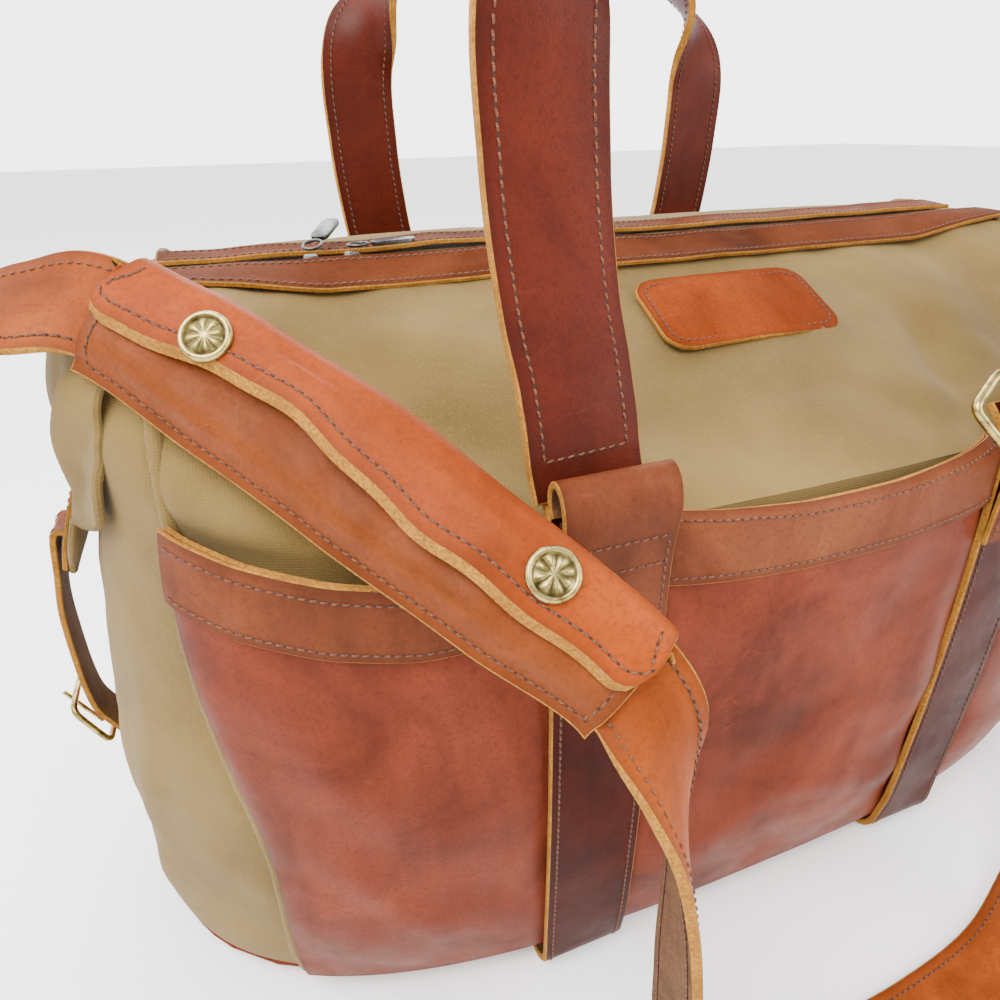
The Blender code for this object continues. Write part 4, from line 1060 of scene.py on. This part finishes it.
def wings():
    front = (WING_EDGE[0], tuple(-angle for angle in WING_EDGE[1]))
    for sign, side in SIDES:
        lines = mirrored(WING_FOLDS, -sign)
        grid = wing_grid(sign, WING_LIFT, front, WING_EDGE, 80, 70)
        n, _ = normals(grid, (sign, 0, 0.3))
        lift = folds(grid, lines) + ripple(grid, 50, 0.0012, 40)
        v = np.linspace(0, 1, 70)[:, None]
        across = np.linspace(0, 1, 80)[None, :]
        free = smoothstep(0.0, 0.15, v) * smoothstep(1.0, 0.85, v)
        grid = grid + n * (np.maximum(lift, -0.0035) * free)[..., None]
        # the turned hem along the two slanting edges
        hem = np.exp(-(np.minimum(across, 1 - across) / 0.035) ** 2)
        grid = grid + n * (0.0010 * hem * free)[..., None]
        sheet_solid(f"cloth_wing_{side}", grid, WING_CLOTH, CLOTH_SET, (sign, 0, 0.3), "bag",
                    (f"wing_{side}",), 0.0010)
        low, high = [((0.0, 1.0), (angle, angle)) for angle in (-1.6, 1.6)]
        strip = wing_grid(sign, STRIP_LIFT, low, high, 12, 70)
        n, _ = normals(strip, (sign, 0, 0.3))
        sheet_solid(f"leather_wing_strip_{side}", strip, LEATHER, LEATHER_SET, (sign, 0, 0.3),
                    "bag", (f"wing_strip_{side}",))
        stitches(f"wing_strip_stitches_{side}", edge_lanes(strip, n, COLUMNS, 0.003, 0.004))


wings()


def end_straps():
    for sign, side in SIDES:
        path = [(0.2830, 0.003, 0.2050), (0.2885, 0.003, 0.2045), (0.2925, 0.003, 0.1850),
                (0.2965, 0.004, 0.1650), (0.2985, 0.005, 0.1400), (0.2993, BUCKLE_Y, 0.1180),
                (0.2980, BUCKLE_Y, 0.1040), (0.2932, BUCKLE_Y, 0.0925), (0.2905, BUCKLE_Y, 0.0840)]
        path = curve([(sign * x, y, z) for x, y, z in path], 90)
        width = 0.0200 - 0.0040 * smoothstep(0.90, 1.0, np.linspace(0, 1, 90))
        across = np.tile((0.0, 1.0, 0.0), (90, 1))
        grid, face = ribbon_grid(path, across, width, 0.0026, 7, 0.0003)
        outward = (sign, 0, 0)
        if face[45][0] * sign < 0:
            grid = grid - face[:, None] * 0.0026
        sheet_solid(f"leather_end_strap_{side}", grid, 0.0026, LEATHER_SET, outward, "bag",
                    (f"end_strap_{side}",))
        n, _ = normals(grid, outward)
        stitches(f"end_strap_stitches_{side}", edge_lanes(grid, n, COLUMNS, 0.0026, 0.004))
        z = np.linspace(0.0800, 0.0420, 20)
        a, _ = plan_axes(z)
        path = np.stack([sign * (a + 0.0023), np.full(20, BUCKLE_Y), z], -1)
        grid, face = ribbon_grid(path, across[:20], 0.0240, 0.0030, 7)
        if face[10][0] * sign < 0:
            grid = grid - face[:, None] * 0.0030
        sheet_solid(f"leather_buckle_tab_{side}", grid, 0.0030, LEATHER_SET, outward, "bag",
                    (f"buckle_tab_{side}",))
        n, _ = normals(grid, outward)
        rows = edge_lanes(grid, n, COLUMNS, 0.0032, 0.002)
        rows += edge_lanes(grid, n, ROWS, 0.0050, 0.0035)
        stitches(f"buckle_tab_stitches_{side}", rows)


end_straps()


# look, node, material, body (of the same side), rounding, rounds of smoothing, slot
FITTINGS = (
    ("brass_d_ring", "d_ring", BRASS, "d_ring", 0, 1, "antique_brass"),
    ("brass_end_buckle", "end_buckle", BRASS, None, 0, 1, "antique_brass"),
    ("brass_prong", "end_prong", BRASS, "prong", 0.0003, 1, "antique_brass"),
    ("steel_slider", "zip_slider", STEEL, "slider", 0.0005, 0, "gunmetal"),
    ("steel_zip_ring", "zip_ring", STEEL, "pull", 0, 1, "gunmetal"),
    ("steel_zip_pull", "zip_pull", STEEL, "pull", 0.0004, 0, "gunmetal"),
    ("leather_d_tab", "d_tab", SADDLE, None, 0.0004, 0, "saddle_leather"),
)


def hardware():
    for _, side in SIDES:
        for look, node, mat, body, bevel, smooth, slot in FITTINGS:
            body = f"{side}_{body}" if body else "bag"
            dress(f"{look}_{side}", f"{node}_{side}", mat, body, bevel, smooth)
    dress("brass_adjuster", "adjuster_buckle", BRASS, "bag", 0, 1)
    dress("leather_base_panel", "base_panel", OXBLOOD, "bag", 0.0004)
    NODES["base_board"].data.materials.clear()
    NODES["base_board"].data.materials.append(FLESH)


hardware()


# ---- shoulder strap and its pad ------------------------------------------------------------------
LONG_ROUTE = (
    ((-0.2900, 0.002, 0.2905), (0.0, 1.0, 0.0)), ((-0.3070, 0.000, 0.2830), (0.1, 1.0, 0.0)),
    ((-0.3260, -0.012, 0.2830), (0.2, 1.0, 0.1)), ((-0.3350, -0.028, 0.2950), (0.3, 0.9, 0.3)),
    ((-0.3180, -0.042, 0.3060), (0.35, 0.86, 0.38)),
    ((-0.2900, -0.046, 0.3040), (0.40, 0.80, 0.44)),
    ((-0.2620, -0.0535, 0.3080), (0.60, 0.45, 0.58)),
    ((-0.2368, -0.0650, 0.3076), (0.75, 0.12, 0.65)),
    ((-0.2000, -0.0960, 0.2835), (0.72, 0.12, 0.68)),
    ((-0.1680, -0.1310, 0.2597), (0.69, 0.15, 0.70)),
    ((-0.1406, -0.1612, 0.2395), (0.66, 0.18, 0.73)),
    ((-0.1125, -0.1850, 0.2157), (0.62, 0.21, 0.75)),
    ((-0.1060, -0.202, 0.1880), (0.55, 0.60, 0.30)), ((-0.1040, -0.209, 0.1500), (0.35, 0.93, 0.0)),
    ((-0.1020, -0.214, 0.0950), (0.15, 1.0, 0.0)), ((-0.0950, -0.218, 0.0450), (0.0, 1.0, 0.0)),
    ((-0.0660, -0.222, 0.0110), (0.0, 1.0, 0.0)), ((-0.0220, -0.226, 0.0028), (0.0, 1.0, 0.0)),
    ((0.0330, -0.226, 0.0028), (0.0, 1.0, 0.0)), ((0.0850, -0.220, 0.0075), (0.0, 1.0, 0.0)),
    ((0.1250, -0.206, 0.0330), (0.0, 1.0, 0.0)), ((0.1480, -0.200, 0.0850), (-0.1, 1.0, 0.0)),
    ((0.1600, -0.194, 0.1450), (-0.3, 0.9, -0.2)), ((0.1530, -0.182, 0.2000), (0.1, 0.8, -0.5)),
    ((0.1330, -0.178, 0.2430), (0.45, 0.2, -0.75)),
    ((0.0960, -0.1710, 0.2610), (0.57, -0.44, -0.70)))
SHORT_ROUTE = (
    ((0.0900, -0.1545, 0.2760), (0.57, -0.44, -0.70)), ((0.1300, -0.1440, 0.2930), (0.4, 0.2, -0.7)),
    ((0.1800, -0.120, 0.3050), (0.3, 0.7, -0.5)), ((0.2300, -0.082, 0.3180), (0.1, 0.9, -0.3)),
    ((0.2700, -0.050, 0.3230), (0.0, 1.0, 0.1)), ((0.3000, -0.020, 0.3120), (-0.1, 1.0, 0.1)),
    ((0.3100, -0.002, 0.2980), (0.0, 1.0, 0.0)), ((0.2920, 0.002, 0.2905), (0.0, 1.0, 0.0)))
PAD_FIRST, PAD_LAST = 7, 11
# Pad outline against the share of its length: fold, lower edge, and free edge of the flap.
PAD_FOLD = ((0.0, 0.25, 0.5, 0.75, 1.0), (0.0200, 0.0232, 0.0256, 0.0230, 0.0198))
PAD_LOWER = ((0.0, 0.25, 0.5, 0.75, 1.0), (-0.0210, -0.0232, -0.0226, -0.0215, -0.0205))
FLAP_FREE = ((0.0, 0.35, 0.67, 1.0), (-0.0026, 0.0065, 0.0, -0.0026))
# Snap caps: share of the pad's length, and distance across from its middle line.
SNAPS = (("upper", 0.195, 0.0092), ("lower", 0.815, 0.0117))


def strap_curve(route, count):
    both = np.array([tuple(p) + tuple(s) for p, s in route])
    made = curve(both, count)
    return made[:, :3], unit(made[:, 3:])


def shoulder_strap():
    for name, route, count in (("long", LONG_ROUTE, 420), ("short", SHORT_ROUTE, 120)):
        path, across = strap_curve(route, count)
        grid, face = ribbon_grid(path, across, SHOULDER_WIDTH, SHOULDER_THICK, 9, 0.0003)
        outward = face[count // 2]
        sheet_solid(f"leather_shoulder_strap_{name}", grid, SHOULDER_THICK, LEATHER_SET, outward,
                    "bag", (f"shoulder_strap_{name}",), 0.0006)
        n = np.broadcast_to(face[:, None], grid.shape)
        rows = two_faced_lanes(grid, n, SHOULDER_THICK + 0.0003, 0.0045, 0.004)
        stitches(f"shoulder_strap_stitches_{name}", above_floor(rows))


shoulder_strap()


def pad_frames(count):
    """Points on the pad's middle line, with their across and outward directions."""
    path, across = strap_curve(LONG_ROUTE, 1200)
    first, last = (int(np.argmin(np.linalg.norm(path - np.array(LONG_ROUTE[k][0]), axis=1)))
                   for k in (PAD_FIRST, PAD_LAST))
    path, across = path[first:last + 1], across[first:last + 1]
    tangent = unit(np.gradient(path, axis=0))
    side = unit(across - tangent * (across * tangent).sum(-1, keepdims=True))
    out = np.cross(tangent, side)
    pick = np.linspace(0, len(path) - 1, count).astype(int)
    return path[pick], side[pick], out[pick], tangent[pick]


def pad_grid(frames, t, across, lift):
    """Surface over the pad: the ends are drawn in at the fold and let out at the lower edge."""
    path, side, out, tangent = frames
    fold = np.clip(across / 0.020, 0, 1)
    low = np.clip(-across / 0.021, 0, 1)
    start, finish = np.clip(1 - t / 0.16, 0, 1)[:, None], np.clip((t - 0.84) / 0.16, 0, 1)[:, None]
    shift = (0.0085 * fold - 0.0005 * low) * start + (0.0024 * low - 0.0040 * fold) * finish
    return (path[:, None] + side[:, None] * across[..., None] + out[:, None] * lift[..., None]
            + tangent[:, None] * shift[..., None])


def section_curve(t, points, cols):
    """Cross-sections through rows of (across, lift) knots, each given as a pair of arrays."""
    s = np.stack([np.broadcast_to(p[0], t.shape) for p in points], -1)
    h = np.stack([np.broadcast_to(p[1], t.shape) for p in points], -1)
    across, lift = [], []
    for k in range(len(t)):
        line = curve(np.stack([s[k], h[k], 0 * s[k]], -1), cols)
        across.append(line[:, 0])
        lift.append(line[:, 1])
    return np.array(across), np.array(lift)


def pad():
    count = 150
    frames = pad_frames(count)
    path, _, out, tangent = frames
    t = np.linspace(0, 1, count)
    fold, lower, free = profile(PAD_FOLD, t), profile(PAD_LOWER, t), profile(FLAP_FREE, t)
    middle = out[count // 2]
    plump = (0.45 + 0.55 * smoothstep(0.0, 0.10, t) * smoothstep(1.0, 0.90, t)
             + 0.10 * np.sin(t * 23.0) * np.sin(t * 7.0))
    # the lip: sewn flat along the strap's lower edge, then swelling over the padding
    points = [(lower, 0.0016), (lower + 0.0022, 0.0017), (lower + 0.0044, 0.0024),
              (lower + 0.0062, 0.0040), (lower + 0.0090, 0.0040 + 0.0024 * plump),
              (lower + 0.0130, 0.0040 + 0.0036 * plump), (lower + 0.0175, 0.0040 + 0.0030 * plump),
              (lower + 0.0230, 0.0040 + 0.0018 * plump), (np.maximum(free + 0.006, 0.0095), 0.0042)]
    across, lift = section_curve(t, points, 34)
    grid = pad_grid(frames, t, across, lift + 0.00035 * np.sin(t * 61.0)[:, None]
                    * smoothstep(0.0030, 0.0060, lift))
    # the lip takes the darker leather look: painted shade under the flap
    under = sheet_solid("leather_pad_under", grid, 0.0018, SHADED_LIP_SET, middle, "bag", (),
                        0.0005)
    n, _ = normals(grid, middle)
    rows = [lane(grid, n, "first_column", 0.0036, 0.0036)] + edge_lanes(grid, n, ROWS, 0.0042, 0.003)
    stitches("pad_under_stitches", rows)
    # the back layer and the round fold that joins it to the flap
    points = [(lower, -0.0022), (lower + 0.0044, -0.0026), (lower + 0.0064, -0.0044),
              (lower + 0.0100, -0.0055), (lower * 0.3, -0.0056), (fold - 0.0060, -0.0055),
              (fold - 0.0022, -0.0044), (fold - 0.0003, -0.0016), (fold - 0.0002, 0.0016),
              (fold - 0.0014, 0.0038)]
    across, lift = section_curve(t, points, 36)
    back = sheet_solid("leather_pad_back", pad_grid(frames, t, across, lift), 0.0018, PAD_SET,
                       -middle, "bag", ("pad_back",), 0.0005)
    # the flap: its free edge waves and stands off, and both its free corners are rounded
    free = free + 0.0005 * np.sin(t * 37.0)
    corner = 0.0095
    run = t * float(reach(path[:, None], 0)[-1, 0])
    for near in (run, run[::-1]):
        inside = np.clip(1 - near / corner, 0, 1)
        free = free + corner * (1 - np.sqrt(np.clip(1 - inside ** 2, 0, 1)))
    gape = 0.0006 + 0.0030 * np.sin(math.pi * t) ** 0.8
    points = [(free, 0.0094 + gape), (free + 0.25 * (fold - free), 0.0097 + 0.6 * gape),
              (free + 0.55 * (fold - free), 0.0093 + 0.25 * gape), (fold - 0.0058, 0.0082),
              (fold - 0.0022, 0.0064), (fold - 0.0004, 0.0040)]
    across, lift = section_curve(t, points, 40)
    grid = pad_grid(frames, t, across, lift)
    flap = sheet_solid("leather_pad_flap", grid, 0.0034, PAD_SET, middle, "pad_cover",
                       ("pad_flap",), 0.0005, 0.0024)
    n, _ = normals(grid, middle)
    rows = [lane(grid, n, "first_column", 0.0048, 0.0048)] + edge_lanes(grid, n, ROWS, 0.0052, 0.0052)
    stitches("pad_flap_stitches", rows, "pad_cover")
    for end, share, spot in SNAPS:
        k = int(share * (count - 1))
        j = int(np.argmin(np.abs(across[k] - spot)))
        snap_cap(end, grid[k, j], n[k, j], tangent[k])


def snap_cap(end, centre, out, ahead):
    """Domed brass cap: a raised rim, and a plain eight-petal rosette in a sunk field."""
    out, ahead = unit(out), unit(ahead - out * (ahead @ out))
    side = np.cross(out, ahead)
    around = np.arange(96) * 2 * math.pi / 96
    rings = [(0.0, 0.0022), (0.0013, 0.0022), (0.0024, 0.0021), (0.0035, 0.0020), (0.0045, 0.0018),
             (0.0054, 0.0016), (0.0060, 0.0015), (0.0064, 0.0019), (0.0070, 0.0020),
             (0.0075, 0.0017), (0.0079, 0.0010), (0.0080, 0.0004), (0.0078, -0.0006)]
    verts, flat = [], []
    for r, h in rings:
        petal = np.cos(4 * around) ** 2 * math.exp(-((r - 0.0037) / 0.0017) ** 2)
        hub = math.exp(-(r / 0.0012) ** 2)
        relief = 0.00055 * petal + 0.0004 * hub
        z = h + relief - (0.0005 if r < 0.0060 else 0.0)
        verts.append(centre + out * np.broadcast_to(z, around.shape)[:, None]
                     + ahead * (np.cos(around) * r)[:, None] + side * (np.sin(around) * r)[:, None])
        deep = np.clip(1.0 - (petal + hub) * 1.2, 0, 1) if r < 0.0062 else np.zeros(96)
        flat.append(np.stack([np.zeros(96), np.zeros(96), deep * 0.85], -1))
    verts, flat = np.concatenate(verts), np.concatenate(flat)
    faces = []
    for i in range(len(rings) - 1):
        for j in range(96):
            k = (j + 1) % 96
            if i == 0:
                faces.append((0, 96 + j, 96 + k))
            else:
                faces.append((i * 96 + j, (i + 1) * 96 + j, (i + 1) * 96 + k, i * 96 + k))
    faces.append(tuple((len(rings) - 1) * 96 + j for j in reversed(range(96))))
    keep = np.concatenate([[0], np.arange(96, len(verts))])
    remap = {int(old): new for new, old in enumerate(keep)}
    faces = [tuple(remap.get(v, 0) for v in f) for f in faces]
    finish_piece(f"brass_snap_cap_{end}", verts[keep], faces, [0] * len(faces), (BRASS,),
                 flat[keep], "pad_cover", (f"snap_cap_{end}",))


pad()


def patch():
    """Blank leather patch with round corners, lying on the slope."""
    low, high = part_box("leather_patch")
    x0, x1, y0, y1 = low.x, high.x, low.y, high.y
    cols, rows = 60, 34
    u, v = np.meshgrid(np.linspace(-1, 1, cols), np.linspace(-1, 1, rows))
    width, depth, corner = (x1 - x0) / 2, 0.023, 0.011
    # square grid drawn in to a rounded rectangle
    shrink_u = 1 - (corner / width) * (1 - np.sqrt(1 - np.clip((np.abs(v) - 1 + corner / depth)
                                                              / (corner / depth), 0, 1) ** 2))
    px = u * width * shrink_u
    slope = math.atan2(high.z - low.z, high.y - low.y)
    middle = np.array(((x0 + x1) / 2, (y0 + y1) / 2, (low.z + high.z) / 2 + 0.0006))
    uphill = np.array((0, math.cos(slope), math.sin(slope)))
    out = np.array((0, -math.sin(slope), math.cos(slope)))
    bend = -0.0012 * (px / width) ** 2
    grid = (middle + np.stack([px, np.zeros_like(px), np.zeros_like(px)], -1)
            + uphill * (v * depth)[..., None] + out * bend[..., None])
    sheet_solid("blank_leather_patch", grid, 0.0024, PATCH_SET, out, "bag", ("leather_patch",),
                0.0006)
    loop = []
    w, d, r = width - 0.0040, depth - 0.0040, corner - 0.0030
    for k, (sx, sy) in enumerate(((1, 1), (-1, 1), (-1, -1), (1, -1))):
        for a in np.linspace(0, math.pi / 2, 8):
            q = a + k * math.pi / 2
            loop.append((sx * (w - r) + r * math.cos(q), sy * (d - r) + r * math.sin(q)))
    loop.append(loop[0])
    loop = np.array(loop)
    points = (middle + np.stack([loop[:, 0], 0 * loop[:, 0], 0 * loop[:, 0]], -1)
              + uphill * loop[:, 1:2] + out * (-0.0012 * (loop[:, :1] / width) ** 2))
    points, facings = cut_ends(points, np.tile(out, (len(points), 1)), 0.0)
    stitches("patch_stitches", [(points, facings)])


patch()


# ---- stage, light and camera ---------------------------------------------------------------------
ROOM_LIGHT, WALL_LIGHT = 1.15, 4.4


def stage():
    mesh = bpy.data.meshes.new("floor")
    mesh.from_pydata([(-9, -9, 0), (9, -9, 0), (9, 9, 0), (-9, 9, 0)], [], [(0, 1, 2, 3)])
    mesh.materials.append(plain_floor())
    floor = bpy.data.objects.new("floor", mesh)
    bpy.context.scene.collection.objects.link(floor)
    bpy.context.scene.world = studio_world()


def studio_world():
    """White studio: a bright wall behind the bag, a softer room on the viewer's side."""
    world = bpy.data.worlds.new("studio")
    world.use_nodes = True
    nodes, links = world.node_tree.nodes, world.node_tree.links
    towards = nodes.new("ShaderNodeSeparateXYZ")
    links.new(nodes.new("ShaderNodeTexCoord").outputs["Generated"], towards.inputs[0])
    ramp = nodes.new("ShaderNodeMapRange")
    ramp.interpolation_type = "SMOOTHSTEP"
    for socket, value in (("From Min", -0.25), ("From Max", 0.45),
                          ("To Min", ROOM_LIGHT), ("To Max", WALL_LIGHT)):
        ramp.inputs[socket].default_value = value
    links.new(towards.outputs["Y"], ramp.inputs["Value"])
    back = nodes["Background"]
    back.inputs["Color"].default_value = (1.0, 0.995, 0.985, 1)
    links.new(ramp.outputs["Result"], back.inputs["Strength"])
    return world


def lamp(name, place, target, size, power_watts, colour):
    data = bpy.data.lights.new(name, "AREA")
    data.shape = "RECTANGLE"
    data.size, data.size_y = size
    data.energy = power_watts
    data.color = colour
    obj = bpy.data.objects.new(name, data)
    obj.location = place
    aim = Vector(target) - Vector(place)
    obj.rotation_euler = aim.to_track_quat("-Z", "Y").to_euler()
    bpy.context.scene.collection.objects.link(obj)


def camera():
    data = bpy.data.cameras.new("camera")
    data.lens, data.sensor_width, data.clip_start = 24.98, 36.0, 0.01
    obj = bpy.data.objects.new("camera", data)
    right = Vector((0.93441366, -0.35578745, -0.01692374))
    up = Vector((0.18352514, 0.44018774, 0.8789501))
    forward = Vector((0.30526979, 0.82440891, -0.47661338))
    matrix = Matrix((right, up, -forward)).transposed().to_4x4()
    matrix.translation = Vector((-0.198026, -0.310842, 0.355682))
    obj.matrix_world = matrix
    bpy.context.scene.collection.objects.link(obj)
    bpy.context.scene.camera = obj


stage()
lamp("key", (-0.9, -0.6, 1.8), (0, 0, 0.2), (1.6, 1.3), 95, (1.0, 0.98, 0.95))
lamp("side", (1.4, -1.4, 1.0), (0, -0.1, 0.15), (1.2, 1.4), 45, (1.0, 0.97, 0.95))
lamp("back", (0.3, 1.6, 1.5), (0, 0, 0.25), (1.4, 0.7), 30, (0.97, 0.98, 1.0))
camera()
